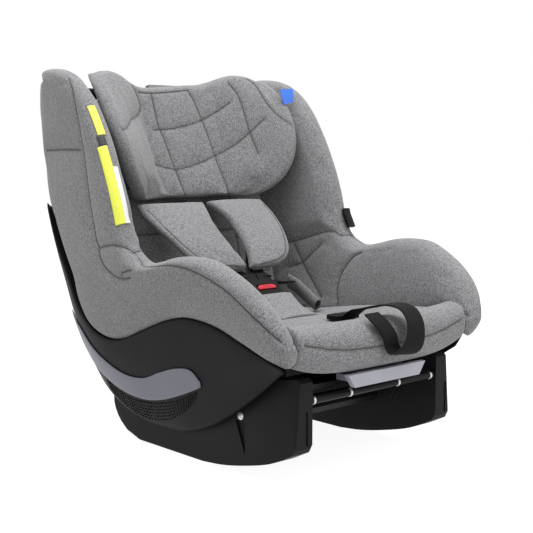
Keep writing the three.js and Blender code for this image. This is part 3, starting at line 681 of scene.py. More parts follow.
def inner_x(y, z):
    """|x| of a side cover's inner face beside places in the side view."""
    t, f = np.meshgrid(np.linspace(0, 1, 120), np.linspace(0.1, 1.15, 60))
    cy, cz, ly, lz, thick, cx, lx, _ = np.moveaxis(catmull(SIDE, t), -1, 0)
    flat = np.stack([0 * f, lerp(cy, ly, f), lerp(cz, lz, f)], -1)
    tree = tree_of(flat.reshape(-1, 3))
    face = (lerp(cx, lx, f) - thick / 2).ravel()
    y, z = np.broadcast_arrays(y, z)
    return np.array([face[tree.find((0, a, b))[1]] for a, b in zip(y.ravel(), z.ravel())]).reshape(y.shape)


# ---- Pads ----
SEAT_LINE = [(-204, 190), (-150, 187), (-80, 180), (-10, 169), (50, 162), (96, 165)]
REST_LINE = [(126, 184), (140, 220), (156, 270), (172, 320), (190, 380), (207, 441), (222, 496)]
PAD_T = 18


def pad_shell(line, half_width, crown, push):
    """A pad over a centre line in the side view. crown(across) lifts it; push goes (y, z) to its back."""
    edge = 7
    vs = spread(catmull(line, np.linspace(0, 1, 300)), STEP, (edge, edge))
    u, v = np.meshgrid(stations(310, STEP, (edge, edge)) * 2 - 1, vs)
    y, z = np.moveaxis(catmull(line, v), -1, 0)
    wide = np.broadcast_to(half_width(y[:, :1], z[:, :1]), u.shape)
    lift_y, lift_z = crown(u)
    front = np.stack([u * wide, y + lift_y, z + lift_z], -1)
    back = np.stack([u * wide, y + push[0], z + push[1]], -1)
    return Shell(front, back, (edge,) * 4)


def seat_shell():
    return pad_shell(SEAT_LINE, lambda y, z: inner_x(y, z + 6) - 2,
                     lambda u: (0 * u, 10 * u ** 4), (0, -PAD_T))


def rest_shell():
    return pad_shell(REST_LINE, lambda y, z: inner_x(y, z) - 3, lambda u: (-10 * u ** 4, 0 * u), (PAD_T, 0))


SEAT_SEAMS = [[(side * x, y, z)
               for x, y, z in ((96, -190, 190), (92, -100, 184), (88, 0, 170), (86, 90, 166))]
              for side in SIDES.values()]
SEAT_SEAMS.append([(-150, 20, 172), (0, 20, 166), (150, 20, 172)])
REST_SEAMS = [[(side * x, y, z)
               for x, y, z in ((98, 128, 190), (100, 156, 270), (102, 190, 380), (104, 218, 486))]
              for side in SIDES.values()]
REST_SEAMS += [[(-160, y, z), (0, middle, z), (160, y, z)]
               for y, middle, z in ((140, 140, 220), (162, 164, 290), (184, 186, 360))]

# ---- Front lip ----
LIP_HALF = 163
LIP_LOW, LIP_HIGH = 140, 203
LIP_SKIN = [(-216, 189), (-222, 198), (-234, 203), (-248, 202), (-259, 195), (-265, 182), (-265, 165),
            (-262, 150), (-255, 141), (-245, 140), (-238, 150)]
LIP_BACK = [(-216, 189), (-232, 178), (-238, 150)]


def lip_shell():
    us = stations(2 * LIP_HALF, STEP, (3, 3)) * 2 - 1
    vs = stations(140, STEP)
    u, v = np.meshgrid(us, vs)
    grids = []
    for line in (LIP_SKIN, LIP_BACK):
        y, z = np.moveaxis(catmull(line, v), -1, 0)
        height = (z - LIP_LOW) / (LIP_HIGH - LIP_LOW)
        grids.append(np.stack([u * LIP_HALF, y + 5 * u ** 2, z + lerp(18, 5, height) * u ** 4], -1))
    return Shell(*grids, (0, 0, 3, 3))


LIP_SEAMS = [[(-150, -262, 186), (-90, -266, 173), (0, -267, 169), (90, -266, 173), (150, -262, 186)]]

# ---- Headrest ----
# v runs up it: height on the centre line, half width of the inner face, reach of the cheeks, their lift.
HEAD = [(344, 110, 16, 0), (353, 122, 38, 1), (372, 140, 60, 3), (398, 154, 75, 6), (426, 163, 80, 10),
        (454, 169, 76, 14), (480, 170, 66, 18), (500, 168, 50, 21), (511, 164, 38, 20), (517, 160, 30, 19)]
HEAD_FLAT, HEAD_BEND, HEAD_T, CHEEK_T, HEAD_FRONT = 0.4, 1.3, 26, 24, 142


def smoothstep(value):
    value = np.clip(value, 0, 1)
    return value * value * (3 - 2 * value)


def head_point(u, v, depth):
    z, half, reach, lift = np.moveaxis(catmull(HEAD, v), -1, 0)
    across = lerp(-1, 1, np.asarray(u, float))
    wide = np.abs(across)
    turn = np.clip((wide - HEAD_FLAT) / (1 - HEAD_FLAT), 0, 1)
    slope = HEAD_BEND * turn ** (HEAD_BEND - 1) / (1 - HEAD_FLAT) * reach / half
    thick = depth * lerp(HEAD_T, CHEEK_T, turn) / np.hypot(slope, 1)
    rise = smoothstep((wide - 0.3) / 0.45) - 0.42 * smoothstep((wide - 0.78) / 0.22)
    sag = 15 * across * (1 - wide ** 2) ** 2 * v
    y = HEAD_FRONT + (z - HEAD[0][0]) * math.tan(BACK_TILT) - reach * turn ** HEAD_BEND + thick
    return np.stack([np.sign(across) * (half * wide + thick * slope), y, z + lift * rise + sag], -1)


def head_shell():
    sweep = head_point(np.linspace(0, 1, 600), np.full(600, 0.5), 0)
    u, v = np.meshgrid(spread(sweep, STEP, (12, 12)), stations(185, STEP, (11, 11)))
    return Shell(head_point(u, v, 0), head_point(u, v, 1), (10, 10, 12, 12))


HEAD_QUILT = [
    [(0.36, 0.86), (0.367, 0.7), (0.372, 0.57), (0.385, 0.5), (0.413, 0.3), (0.435, 0.04)],
    [(0.57, 0.9), (0.588, 0.8), (0.63, 0.58), (0.68, 0.37), (0.735, 0.2), (0.795, 0.03)],
    [(0.8, 0.86), (0.818, 0.7), (0.838, 0.47), (0.868, 0.36)],
    [(0.338, 0.54), (0.473, 0.55), (0.605, 0.585), (0.71, 0.63), (0.782, 0.67)],
    [(0.292, 0.33), (0.403, 0.3), (0.525, 0.315), (0.68, 0.37), (0.79, 0.43), (0.895, 0.55)],
    [(0.29, 0.82), (0.42, 0.855), (0.585, 0.88)],
    [(0.01, 0.5), (0.07, 0.5), (0.152, 0.54), (0.263, 0.62), (0.29, 0.685), (0.275, 0.77), (0.24, 0.93)],
    [(0.9, 0.93), (0.91, 0.8), (0.922, 0.645), (0.958, 0.575), (0.998, 0.54)],
]


# ---- Harness pads ----
SLOPE_Y, SLOPE_Z, SLOPE_ANGLE, SLOPE_LENGTH = 4, 241, math.radians(42.5), 152
PAD_OUTER = [(14, 8), (66, 15), (95, 34), (110, 76), (114, 116), (112, 148)]
PAD_INNER = [(3, 10), (9, 38), (14, 72), (13, 104), (8, 130), (4, 152)]
PAD_SPREAD = 16                    # the pad on the left lies this much wider at its top


def slope_point(x, s, lift):
    up = lift + 6 * np.sin(math.pi * np.clip(s / SLOPE_LENGTH, 0, 1))
    y = SLOPE_Y + s * math.cos(SLOPE_ANGLE) - up * math.sin(SLOPE_ANGLE)
    z = SLOPE_Z + s * math.sin(SLOPE_ANGLE) + up * math.cos(SLOPE_ANGLE)
    return np.stack([x, y, z], -1)


def shoulder_shell(side):
    us = stations(90, 2.4, (6, 6))
    vs = stations(150, 2.4, (6, 6))
    u, v = np.meshgrid(us, vs)
    flat = lerp(catmull(PAD_INNER, v), catmull(PAD_OUTER, v), u[..., None])
    x, s = side * flat[..., 0], flat[..., 1]
    if side < 0:
        x = x - PAD_SPREAD * u * smoothstep((s - 40) / 100)
    crown = 3 * (1 - np.abs(2 * u - 1) ** 2.5)
    return Shell(slope_point(x, s, crown), slope_point(x, s, -12 + 0 * u), (6, 6, 6, 6))


def shoulder_seams(side):
    inset = [(0.93, 0.03), (0.93, 0.3), (0.93, 0.6), (0.93, 0.9)]
    line = []
    for u, v in inset:
        x, s = lerp(catmull(PAD_INNER, v), catmull(PAD_OUTER, v), u)
        x = side * x - (PAD_SPREAD * u * smoothstep((s - 40) / 100) if side < 0 else 0)
        line.append(slope_point(x, s, 2.0))
    return [line]


CROTCH_FRONT = [(-38, 214), (-52, 205), (-66, 197), (-82, 190.5), (-98, 187.5)]
CROTCH_BACK = [(-38, 210.6), (-47, 202.8), (-60, 191), (-80, 186.6), (-98, 185)]


def crotch_shell():
    u, v = np.meshgrid(stations(72, 2.4, (5, 5)), stations(68, 2.4, (4, 3)))
    across = 2 * u - 1
    x = across * lerp(36, 34, v)
    top, under = catmull(CROTCH_FRONT, v), catmull(CROTCH_BACK, v)
    front = np.stack([x, top[..., 0], top[..., 1] + 1.5 - 3 * across ** 4], -1)
    return Shell(front, np.stack([x, under[..., 0], under[..., 1]], -1), (5, 3, 5, 5))


# ---- Straps and rods ----
def band(middle, wide, out, width, thick):
    """A flat strap with rounded edges round a middle line: width along wide, thickness along out."""
    flat, bulge = width / 2 - thick / 2, thick / 2
    section = []
    for face in (1, -1):
        section += [(face * x, 0, face) for x in np.linspace(-1, 1, 9)]
        section += [(face, face * math.cos(a), face * math.sin(a)) for a in (0.8, 0, -0.8)]
    rows = [middle + wide * (x * flat + e * bulge) + out * n * bulge for x, e, n in section]
    return ringed(np.stack(rows, 1))


def strap(points, width, thick):
    """A flat strap along given points, its width along X."""
    path = polyline(points, 2.0)
    along = unit(np.gradient(path, axis=0))
    wide = np.broadcast_to((1.0, 0, 0), path.shape)
    wide = unit(wide - along * np.sum(wide * along, 1, keepdims=True))
    return band(path, wide, np.cross(wide, along), width, thick)


def closed(name, shape, paint, smooth):
    """A closed mesh piece with all faces turned outwards."""
    obj = add_object(name, shape, paint, smooth)
    bpy.context.view_layer.objects.active = obj
    obj.select_set(True)
    bpy.ops.object.mode_set(mode="EDIT")
    bpy.ops.mesh.select_all(action="SELECT")
    bpy.ops.mesh.normals_make_consistent(inside=False)
    bpy.ops.object.mode_set(mode="OBJECT")
    obj.select_set(False)
    return obj


def bake(obj):
    """Applies the object's modifiers to its mesh."""
    graph = bpy.context.evaluated_depsgraph_get()
    made = bpy.data.meshes.new_from_object(obj.evaluated_get(graph))
    obj.modifiers.clear()
    obj.data = made


def soften(obj, width, segments=3):
    """Rounds the hard edges of a moulded or machined piece, and keeps its flats flat."""
    bevel = obj.modifiers.new("edges", "BEVEL")
    bevel.width = width * MM
    bevel.segments = segments
    bevel.limit_method = "ANGLE"
    bevel.angle_limit = math.radians(35)
    obj.modifiers.new("flats", "WEIGHTED_NORMAL").keep_sharp = True


def prism(name, outline, x0, x1):
    """An outline in the side view pushed along X."""
    count = len(outline)
    points = [(x, y, z) for x in (x0, x1) for y, z in outline]
    faces = [list(range(count)), list(range(2 * count - 1, count - 1, -1))]
    faces += [[i, i + count, (i + 1) % count + count, (i + 1) % count] for i in range(count)]
    return closed(name, (points, faces), "charcoal", 30)


def cut(obj, *cutters):
    for cutter in cutters:
        work = obj.modifiers.new("cut", "BOOLEAN")
        work.object = cutter
        work.operation = "DIFFERENCE"
        work.solver = "EXACT"
    bake(obj)
    for cutter in cutters:
        bpy.data.objects.remove(cutter)


def block(name, centre, size):
    """A box, only ever a cutter."""
    corners = np.array([(x, y, z) for x in (-1, 1) for y in (-1, 1) for z in (-1, 1)])
    faces = [[0, 1, 3, 2], [4, 6, 7, 5], [0, 4, 5, 1], [2, 3, 7, 6], [0, 2, 6, 4], [1, 5, 7, 3]]
    return closed(name, (corners * np.array(size) / 2 + centre, faces), "charcoal", 30)


def rounded_outline(width, height, radius, taper=1.0):
    """A rounded rectangle, narrower at its lower end by taper."""
    points = []
    for sx, sy, start in ((1, -1, -90), (1, 1, 0), (-1, 1, 90), (-1, -1, 180)):
        share = taper if sy < 0 else 1
        cx, cy = sx * (width / 2 * share - radius), sy * (height / 2 - radius)
        for a in np.radians(np.linspace(start, start + 90, 6)):
            points.append((cx + radius * math.cos(a), cy + radius * math.sin(a)))
    return np.array(points)


def plate(name, outline, low, high, put, paint, crown=0.0):
    """A plate over an outline from z low to high, its top crowned, put in place by a function of points."""
    rings = [(1, low), (1, high)]
    rings += [(s, high + crown * (1 - s ** 2)) for s in (0.9, 0.75, 0.5, 0.2)]
    grid = np.array([np.column_stack([outline * s, np.full(len(outline), z)]) for s, z in rings])
    points, faces = ringed(grid)
    return closed(name, (put(points), faces), paint, 40)


def rod(name, start, end, radius, paint="zinc"):
    """A turned rod along X with chamfered ends."""
    start, end = np.array(start, float), np.array(end, float)
    along = unit(end - start)
    side = unit(np.cross(along, (0, 0, 1.0)))
    up = np.cross(along, side)
    chamfer = 0.8
    stops = [(start, radius - chamfer), (start + along * chamfer, radius),
             (end - along * chamfer, radius), (end, radius - chamfer)]
    angles = np.linspace(0, 2 * math.pi, 24, endpoint=False)
    grid = np.array([[p + r * (side * math.cos(a) + up * math.sin(a)) for a in angles] for p, r in stops])
    return closed(name, ringed(grid), paint, 30)


# ---- Plastic side panels ----
# Each row: upper edge y, z; lower edge y, z; outer |x| at the upper and at the lower edge.
PANEL = [
    (249, 340, 257, 330, 197, 178), (231, 306, 254, 288, 200, 166),
    (207, 268, 247, 240, 202, 161), (183, 235, 238, 200, 203, 159),
    (160, 199, 222, 158, 204, 157), (136, 175, 200, 116, 204, 157),
    (107, 161, 160, 72, 204, 157), (74, 157, 112, 46, 204, 157),
    (41, 163, 62, 35, 204, 157), (-7, 182, 10, 33, 204, 157),
    (-54, 199, -40, 37, 204, 157), (-95, 207, -90, 54, 203, 158),
    (-149, 201, -140, 81, 200, 162), (-197, 184, -190, 112, 196, 168),
    (-240, 167, -235, 143, 190, 176), (-258, 161, -257, 156, 188, 184),
]
SHELL_T = 4


def panel_grid(t, f, side, inward):
    uy, uz, ly, lz, ux, lx = np.moveaxis(catmull(PANEL, t), -1, 0)
    x = lerp(ux, lx, np.clip(f, 0, 1) ** 1.6) - inward
    return np.stack([side * x, lerp(uy, ly, f), lerp(uz, lz, f)], -1)


PANEL_RIGHT = 0.965                # the right panel's front tip stays hidden under the cloth
FLANGE_IN = 152                    # |x| of the flange's inner edge
PANEL_TREE = []                    # filled on the first call of panel_x


def panel_x(y, z):
    """|x| of the panel's outside beside places in the side view."""
    if not PANEL_TREE:
        t, f = np.meshgrid(np.linspace(0, 1, 400), np.linspace(0, 1, 80))
        grid = panel_grid(t, f, 1, 0).reshape(-1, 3)
        PANEL_TREE.extend((tree_of(grid * (0, 1, 1)), grid))
    tree, grid = PANEL_TREE
    y, z = np.broadcast_arrays(y, z)
    found = []
    for a, b in zip(y.ravel(), z.ravel()):
        found.append(np.mean([grid[i][0] for _, i, _ in tree.find_n((0, a, b), 4)]))
    return np.array(found).reshape(y.shape)


def panel_shell(side):
    dense = catmull(PANEL, np.linspace(0, 1, 500))
    us = spread((dense[:, :2] + dense[:, 2:4]) / 2, 4.5, (2, 2), 1 if side < 0 else PANEL_RIGHT)
    u, v = np.meshgrid(us, stations(110, 4.5, (2, 2)))
    v = lerp(0.01, 1, v)
    return Shell(panel_grid(u, v, side, 0), panel_grid(u, v, side, SHELL_T), (2, 2, 2, 2))


def panel_flange(side):
    """The panel's top edge turns inwards behind the cloth, so no daylight shows between them."""
    t, across = np.meshgrid(np.linspace(0.01, 0.52, 40), np.linspace(0, 1, 10))
    y, z, low_y, low_z, top_x, _ = np.moveaxis(catmull(PANEL, t), -1, 0)
    x = side * lerp(FLANGE_IN, top_x - 1, across)
    share = 1.5 / np.hypot(low_y - y, low_z - z)
    front = np.stack([x, lerp(y, low_y, share), lerp(z, low_z, share)], -1)
    back = np.stack([x, lerp(y, low_y, 3 * share), lerp(z, low_z, 3 * share)], -1)
    return Shell(front, back, (1, 1, 1, 1))


TRIM_LOW = [(191, 180), (184, 158), (170, 132), (140, 104), (104, 87), (65, 77), (25, 75), (-15, 82),
            (-55, 95), (-88, 108), (-101, 114)]
TRIM_HIGH = [(193, 184), (178, 172), (156, 159), (130, 138), (97, 121), (54, 108), (15, 109), (-25, 123),
             (-62, 134), (-90, 135), (-103, 121)]
VENT_LOW = [(135, 74), (110, 55), (80, 44), (44, 40), (2, 46), (-32, 59), (-63, 78), (-86, 99)]
VENT_HIGH = [(130, 92), (101, 79), (70, 71), (37, 70), (0, 75), (-37, 84), (-71, 97), (-92, 106)]


def panel_normal(y, z):
    """Slope of the panel's outside beside places in the side view, as an outward direction for side +1."""
    d = 4.0
    dx_dy = (panel_x(y + d, z) - panel_x(y - d, z)) / (2 * d)
    dx_dz = (panel_x(y, z + d) - panel_x(y, z - d)) / (2 * d)
    return unit(np.stack([np.ones_like(dx_dy), -dx_dy, -dx_dz], -1))


def strip_shell(low, high, side, lift, thick, width, radius):
    """A thin strip that lies on the side panel between two lines in the side view."""
    us = stations(300, 3.5, (radius, radius))
    vs = stations(width, 2.5, (radius, radius))
    u, v = np.meshgrid(us, vs)
    y, z = np.moveaxis(lerp(catmull(low, u), catmull(high, u), v[..., None]), -1, 0)
    base = np.stack([panel_x(y, z), y, z], -1)
    normal = panel_normal(y, z)
    front, back = base + normal * (lift + thick), base + normal * lift
    return Shell(front * (side, 1, 1), back * (side, 1, 1), (radius,) * 4)


def vent_ribs(side):
    """Rows of short slots below the trim, each a short dark tube half sunk in the panel."""
    parts = []
    rows, columns = 6, 34
    for row in range(rows):
        across = (row + 0.5) / rows
        for column in range(columns):
            u = lerp(0.03, 0.97, (column + 0.5) / columns) + np.array((-0.006, 0, 0.006))
            y, z = lerp(catmull(VENT_LOW, u), catmull(VENT_HIGH, u), across).T
            spots = np.stack([panel_x(y, z), y, z], -1) + panel_normal(y, z) * 0.35
            parts.append(tube(spots * (side, 1, 1), 1.15))
    return join(parts)


# ---- Bucket back and belly ----
BELLY_R = 199
BACK_LINE = [(254, 512), (264, 470), (262, 420), (257, 360), (250, 300), (243, 250)]
BACK_LINE += [on_pivot(BELLY_R, a) for a in (70, 52, 34, 14, -6, -26, -44)]
BACK_HALF = [(136, 0), (148, 0), (154, 0), (156, 0), (157, 0), (156, 0), (152, 0)] + [(146, 0)] * 6
BACK_TURN, TURN_FROM, TURN_OVER = 6, 190, 120   # the sides turn forwards by this much; from z, over z


def back_grid(u, v, inset):
    y, z = np.moveaxis(catmull(BACK_LINE, v), -1, 0)
    along = catmull(BACK_LINE, np.minimum(v + 0.01, 1)) - catmull(BACK_LINE, np.maximum(v - 0.01, 0))
    along = along / np.linalg.norm(along, axis=-1, keepdims=True)
    across = 2 * u - 1
    turn = BACK_TURN * np.clip((z - TURN_FROM) / TURN_OVER, 0, 1) * np.abs(across) ** 5
    half = catmull(BACK_HALF, v)[..., 0]
    return np.stack([across * half, y - turn + inset * along[..., 1], z - inset * along[..., 0]], -1)


def back_shell():
    u, v = np.meshgrid(stations(310, 5, (2, 2)), stations(700, 5, (2, 2)))
    return Shell(back_grid(u, v, 0), back_grid(u, v, SHELL_T), (2, 2, 2, 2))


# ---- Base ----
SKID_IN, SKID_OUT = 119, 148
CRADLE_R = 203
SKID_SOLE = [(-236, 44), (-197, 26), (-149, 13), (-102, 4), (-60, 0)]
INSERT_X, INSERT_Z = 134, 74
PIN_Y, PIN_Z = -138, 77
FRONT_BAR = (-235, 109)            # y, z
KEPT_NODES = {                     # CAD nodes that are shown as they are, by paint
    "charcoal": ["base_pan", "front_beam", "rear_beam", "front_pan", "headrest_guide"],
    "black": ["foot_insert_left", "foot_insert_right", "headrest_shell", "belt_guide", "adjuster_housing",
              "tongue_left", "tongue_right", "adjuster_button"],
    "zinc": ["guide_pin_left", "guide_pin_right", "recline_rack", "recline_latch"],
    "pale": ["recline_handle"],
    "grey": ["headrest_lever"],
    "foam": ["foam_core"],
}


def skid_outline():
    front = [(-242, 55)] + [tuple(p) for p in catmull(SKID_SOLE, np.linspace(0, 1, 17))]
    heel = catmull([(118, 9), (138, 24), (149, 42), (151, 60)], np.linspace(0, 1, 9))
    heel = [(86, 0)] + [tuple(p) for p in heel]
    top = [(151, 84)] + arc(CRADLE_R, 29, -44, 40)
    return front + heel + top + [(-104, 113), (-150, 123), (-205, 135), (-236, 139), (-242, 134)]


def wedge(name, side):
    """Cuts the front outer corner of a skid to a facet that is wide at the top."""
    points = []
    for z, back, inner in ((145, -214, 138.5), (44, -240, 146.5)):
        outer = side * (SKID_OUT + 1)
        points += [(outer, back, z), (outer, -244, z), (side * inner, -244, z)]
    faces = [[0, 1, 2], [5, 4, 3], [0, 3, 4, 1], [1, 4, 5, 2], [2, 5, 3, 0]]
    return closed(name, (points, faces), "charcoal", 30)


def make_skid(label, side):
    low, high = sorted((side * SKID_IN, side * SKID_OUT))
    skid = prism(f"skid_moulding_{label}", skid_outline(), low, high)
    ends = sorted((side * (SKID_OUT - 3), side * (SKID_OUT + 1)))
    groove = [(PIN_Y + 9, 70), (PIN_Y - 11, 72), (PIN_Y - 9, 26)]
    head = [(side * (SKID_OUT + reach), PIN_Y, PIN_Z) for reach in (-3, 5)]
    cut(skid, block("cut_insert", (side * INSERT_X, -242, INSERT_Z), (14, 10, 46)),
        prism("cut_groove", groove, *ends), rod("cut_head", *head, 6.5), wedge("cut_corner", side))
    soften(skid, 1.6)
    finish_piece(skid, "base", [f"skid_{label}"])
    lines = [[(-232, 119), (-205, 105), (-176, 76), (-168, 62)],
             [(-222, 119), (-197, 107), (-169, 80), (-160, 62)],
             [(-128, 104), (-132, 84), (-139, 62)]]
    ribs = [tube([(side * (SKID_IN - 0.2), y, z) for y, z in line], 1.2) for line in lines]
    add_piece(f"skid_ribs_{label}", join(ribs), "charcoal", "base")


def build_rigid():
    for label, side in SIDES.items():
        make_skid(label, side)
        add_piece(f"side_moulding_{label}", panel_shell(side), "charcoal", "bucket", f"side_panel_{label}")
        add_piece(f"panel_flange_{label}", panel_flange(side), "charcoal", "bucket", smooth=40)
        trim = strip_shell(TRIM_LOW, TRIM_HIGH, side, 0.3, 2.4, 26, 5)
        add_piece(f"swoosh_trim_{label}", trim, "lilac", "bucket", f"side_trim_{label}")
        vent = strip_shell(VENT_LOW, VENT_HIGH, side, -0.3, 0.5, 22, 0.3)
        add_piece(f"vent_field_{label}", vent, "charcoal", "bucket", f"vent_grille_{label}")
        add_piece(f"vent_slots_{label}", vent_ribs(side), "black", "bucket")
    add_piece("back_moulding", back_shell(), "charcoal", "bucket", "back_shell")
    for name, y, z, paint in (("front", *FRONT_BAR, "black"), ("rear", 84, 26, "zinc")):
        bar = rod(f"docking_bar_{name}", (-118.6, y, z), (118.6, y, z), 5, paint)
        finish_piece(bar, "base", [f"dock_bar_{name}"])
    for number, x in enumerate((-112, -46, 46, 112)):
        collar = rod(f"docking_collar_{number}", (x - 2, *FRONT_BAR), (x + 2, *FRONT_BAR), 5.6)
        finish_piece(collar, "base")
    for paint, names in KEPT_NODES.items():
        for name in names:
            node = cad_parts[name]
            node.data.materials.clear()
            node.data.materials.append(PAINTS[paint])
            if paint != "foam":
                soften(node, 0.8, 2)


# ---- Harness ----
BUCKLE_Y, BUCKLE_Z, BUCKLE_TILT = -14, 233, math.radians(45)
BUTTON_AT = 16


def on_buckle(points, along):
    """From the buckle's own layout (x, up its face, out of its face) to the seat's."""
    p = np.asarray(points, float)
    a, o = along - p[:, 1], p[:, 2]
    y = BUCKLE_Y - a * math.cos(BUCKLE_TILT) - o * math.sin(BUCKLE_TILT)
    z = BUCKLE_Z - a * math.sin(BUCKLE_TILT) + o * math.cos(BUCKLE_TILT)
    return np.column_stack([p[:, 0], y, z])


def build_buckle():
    case = rounded_outline(54, 44, 13, 0.84)
    body = plate("buckle_case", case, -16, -2.5, lambda p: on_buckle(p, 22), "black", 2.5)
    pocket = rounded_outline(35, 11, 4)
    cut(body, plate("cut_button", pocket, -9, 8, lambda p: on_buckle(p, BUTTON_AT), "black"))
    soften(body, 1.5)
    finish_piece(body, "bucket", ["buckle_body"])

    def bowed(p):
        bow = 2.0 - (p[:, 0] / 9) ** 2
        return on_buckle(p + np.column_stack([0 * bow, bow, 0 * bow]), BUTTON_AT)

    button = plate("release_button", rounded_outline(33, 6.5, 3), -3.9, 0.6, bowed, "red", 1.2)
    soften(button, 0.8)
    finish_piece(button, "buckle_release", ["buckle_button"])


# The pull strap: over the lip, round in a loose loop and back. Each row: left edge, then right edge.
PULL = [
    (-16, -190, 197, 16, -190, 197), (-16, -206, 208, 16, -206, 208), (-16, -226, 213, 15, -226, 213),
    (-10, -240, 217, 22, -240, 217), (1, -255, 219, 33, -255, 219), (11, -268, 214, 43, -268, 213),
    (12, -280, 200, 44, -280, 198), (8, -284, 184, 41, -285.6, 181), (0, -284, 170, 38, -285, 166),
    (-10, -280, 162, 32, -281, 158), (-16, -275, 161, 20, -275, 157), (-17, -269.5, 168, 12, -269.5, 166),
    (-27, -273, 185, 0, -273, 185), (-36, -267, 199, -8, -267, 200), (-40, -254, 211, -14, -254, 211.5),
]


def ribbon(rows, thick):
    """A flat strap between two edge lines."""
    path = catmull(rows, np.linspace(0, 1, 150))
    left, right = path[:, :3], path[:, 3:]
    middle = (left + right) / 2
    width = np.linalg.norm(right - left, axis=1, keepdims=True)
    wide = (right - left) / width
    return band(middle, wide, unit(np.cross(np.gradient(middle, axis=0), wide)), width, thick)


def make_strap(name, shape, body, *stands_for, paint="tape"):
    finish_piece(closed(name, shape, paint, 40), body, stands_for)


def build_straps():
    for label, side in SIDES.items():
        run = [(side * 50, 121, 341), (side * 50, 138, 338), (side * 50, 158, 334)]
        make_strap(f"shoulder_webbing_{label}", strap(run, 38, 2), "headrest", f"shoulder_strap_{label}")
        run = [(side * 92, 21, 216), (side * 60, 9, 219), (side * 36, -2, 222)]
        make_strap(f"lap_webbing_{label}", strap(run, 20, 2), "bucket", f"lap_strap_{label}")
    run = [(0, -60, 180.9), (0, -76, 181.8), (0, -92, 183)]
    make_strap("crotch_webbing", strap(run, 34, 1.2), "bucket", "crotch_strap")
    make_strap("pull_strap", ribbon(PULL, 2.4), "bucket", "adjuster_strap")


def build_harness_runs():
    """Black webbing from the buckle's tongues up under the shoulder pads."""
    for label, side in SIDES.items():
        s = np.array([0, 14, 40, 75, 110])
        x = side * np.array([13, 20, 34, 46, 52])
        run = slope_point(x, s, -16 + 0 * s)
        run[0] = (side * 13, -2, 234)
        obj = closed(f"harness_webbing_{label}", strap(run, 30, 1.8), "tape", 40)
        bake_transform(obj)


def sleeve(side):
    """A padded tube round the lap belt, open at both ends."""
    run = [(side * 106, -22, 184), (side * 105, 0, 197), (side * 99, 18, 211), (side * 86, 22, 219)]
    path = polyline(run, 2.5)
    along = unit(np.gradient(path, axis=0))
    wide = unit(np.array((side * -0.35, -0.45, 0.62)))
    thick = unit(np.cross(along, wide))
    half = 14.5 * lerp(0.85, 1, np.linspace(0, 1, len(path)))
    angles = np.linspace(0, 2 * math.pi, 28, endpoint=False)
    rings = []
    for wall in (0, 2.2):
        w, h = (half - wall)[:, None], 7.5 - wall
        ring = np.stack([path + wide * w * math.cos(a) + thick * h * math.sin(a) for a in angles], 1)
        rings.append(ring if wall == 0 else ring[::-1])
    grid = np.concatenate(rings)
    index = np.arange(len(grid) * len(angles)).reshape(len(grid), -1)
    index = np.concatenate([index, index[:1]])
    return grid.reshape(-1, 3), quads(np.concatenate([index, index[:, :1]], 1))


# ---- Small fittings ----
PATCH_LIFT, PATCH_T = 0.8, 0.6


def cover_patch(rows, reach):
    """A thin patch with rounded corners that lies on the finished side cover at -X."""
    cloth = bpy.data.objects["side_bolster_left"].data
    points = np.empty(len(cloth.vertices) * 3)
    cloth.vertices.foreach_get("co", points)
    points = (points.reshape(-1, 3) / MM - (0, CENTRE_Y, 0)).tolist()
    tree = BVHTree.FromPolygons(points, [tuple(face.vertices) for face in cloth.polygons])
    side = SIDES["left"]
    us, vs = stations(150, 2.5, (2, 2)), stations(max(6, reach[1] - reach[0]), 1.5, (1, 1))
    ts = [lerp(*rows, u) for u in us]
    away = np.array([np.subtract(side_point(t, 0.01, side), side_point(t, 60, side)) for t in ts])
    away += (side * 40, 0, 0)
    front, back = [], []
    for v in vs:
        spots = [tree.find_nearest(Vector(side_point(t, lerp(*reach, v), side))) for t in ts]
        on = np.array([spot[0] for spot in spots])
        out = np.array([spot[1] for spot in spots])
        out *= np.where(np.sum(out * away, 1) < 0, -1, 1)[:, None]
        back.append(on + out * PATCH_LIFT)
        front.append(on + out * (PATCH_LIFT + PATCH_T))
    return Shell(np.array(front), np.array(back), (1.5, 1.5, 1.5, 1.5))


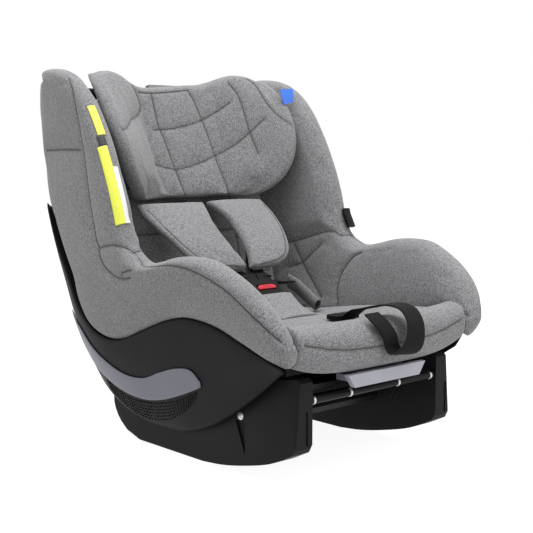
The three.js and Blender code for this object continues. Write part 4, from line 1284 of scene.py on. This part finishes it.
def build_label():
    add_piece("label_yellow_top", cover_patch((4.15, 4.95), (-2, 11)), "yellow", "bucket", "label_patch")
    add_piece("label_black", cover_patch((4.97, 5.25), (1, 14)), "ink", "bucket")
    add_piece("label_yellow", cover_patch((5.27, 7.85), (2, 18)), "yellow", "bucket")
    add_piece("label_white", cover_patch((5.9, 7.85), (-6, 2.6)), "white", "bucket")
    rows = [(166, 118, 490, 187, 118, 495), (162, 119, 502, 188, 119, 506), (160, 121, 514, 188, 121, 517)]
    make_strap("headrest_loop", ribbon(rows, 1.8), "headrest", "headrest_tab", paint="blue")


# ---- Assembly ----
def build_soft():
    made = []
    for label, side in SIDES.items():
        seams = [[side_point(t, reach, side) for t, reach in line] for line in OUTER_SEAMS + INNER_SEAMS]
        cover = Cushion(side_shell(side), seams, ("last_row",), 0.8)
        made.append((f"side_bolster_{label}", cover, "bucket", f"side_cover_{label}"))
    ends = ("first_row", "last_row")
    pinned = (*ends, "first_column", "last_column", "back")
    quilt = [[head_point(u, v, 0) for u, v in line] for line in HEAD_QUILT]
    made += [
        ("lip_cushion", Cushion(lip_shell(), LIP_SEAMS, ends, 0.8), "bucket", "lip_cover"),
        ("seat_cushion", Cushion(seat_shell(), SEAT_SEAMS, pinned, 2, cap=6), "bucket", "seat_pad"),
        ("backrest_cushion", Cushion(rest_shell(), REST_SEAMS, pinned, 2, cap=6), "bucket", "backrest_pad"),
        ("headrest_cushion", Cushion(head_shell(), quilt, ends, 0.3), "headrest", "headrest_pad"),
    ]
    for label, side in SIDES.items():
        pad = Cushion(shoulder_shell(side), shoulder_seams(side), (), 0.2, cap=3, groove=0.8, width=2.5)
        made.append((f"shoulder_cushion_{label}", pad, "headrest", f"shoulder_pad_{label}"))
    crotch = Cushion(crotch_shell(), (), ("last_row",), 0.2, cap=3)
    made.append(("crotch_cushion", crotch, "bucket", "crotch_pad"))
    simulate([row[1] for row in made])
    for row in made:
        soft_piece(*row)
    for label, side in SIDES.items():
        obj = closed(f"hip_sleeve_cloth_{label}", sleeve(side), "cloth_dark", 50)
        finish_piece(obj, "bucket", [f"hip_sleeve_{label}"])


make_camera()
make_studio()
build_soft()
build_rigid()
build_buckle()
build_straps()
build_harness_runs()
build_label()
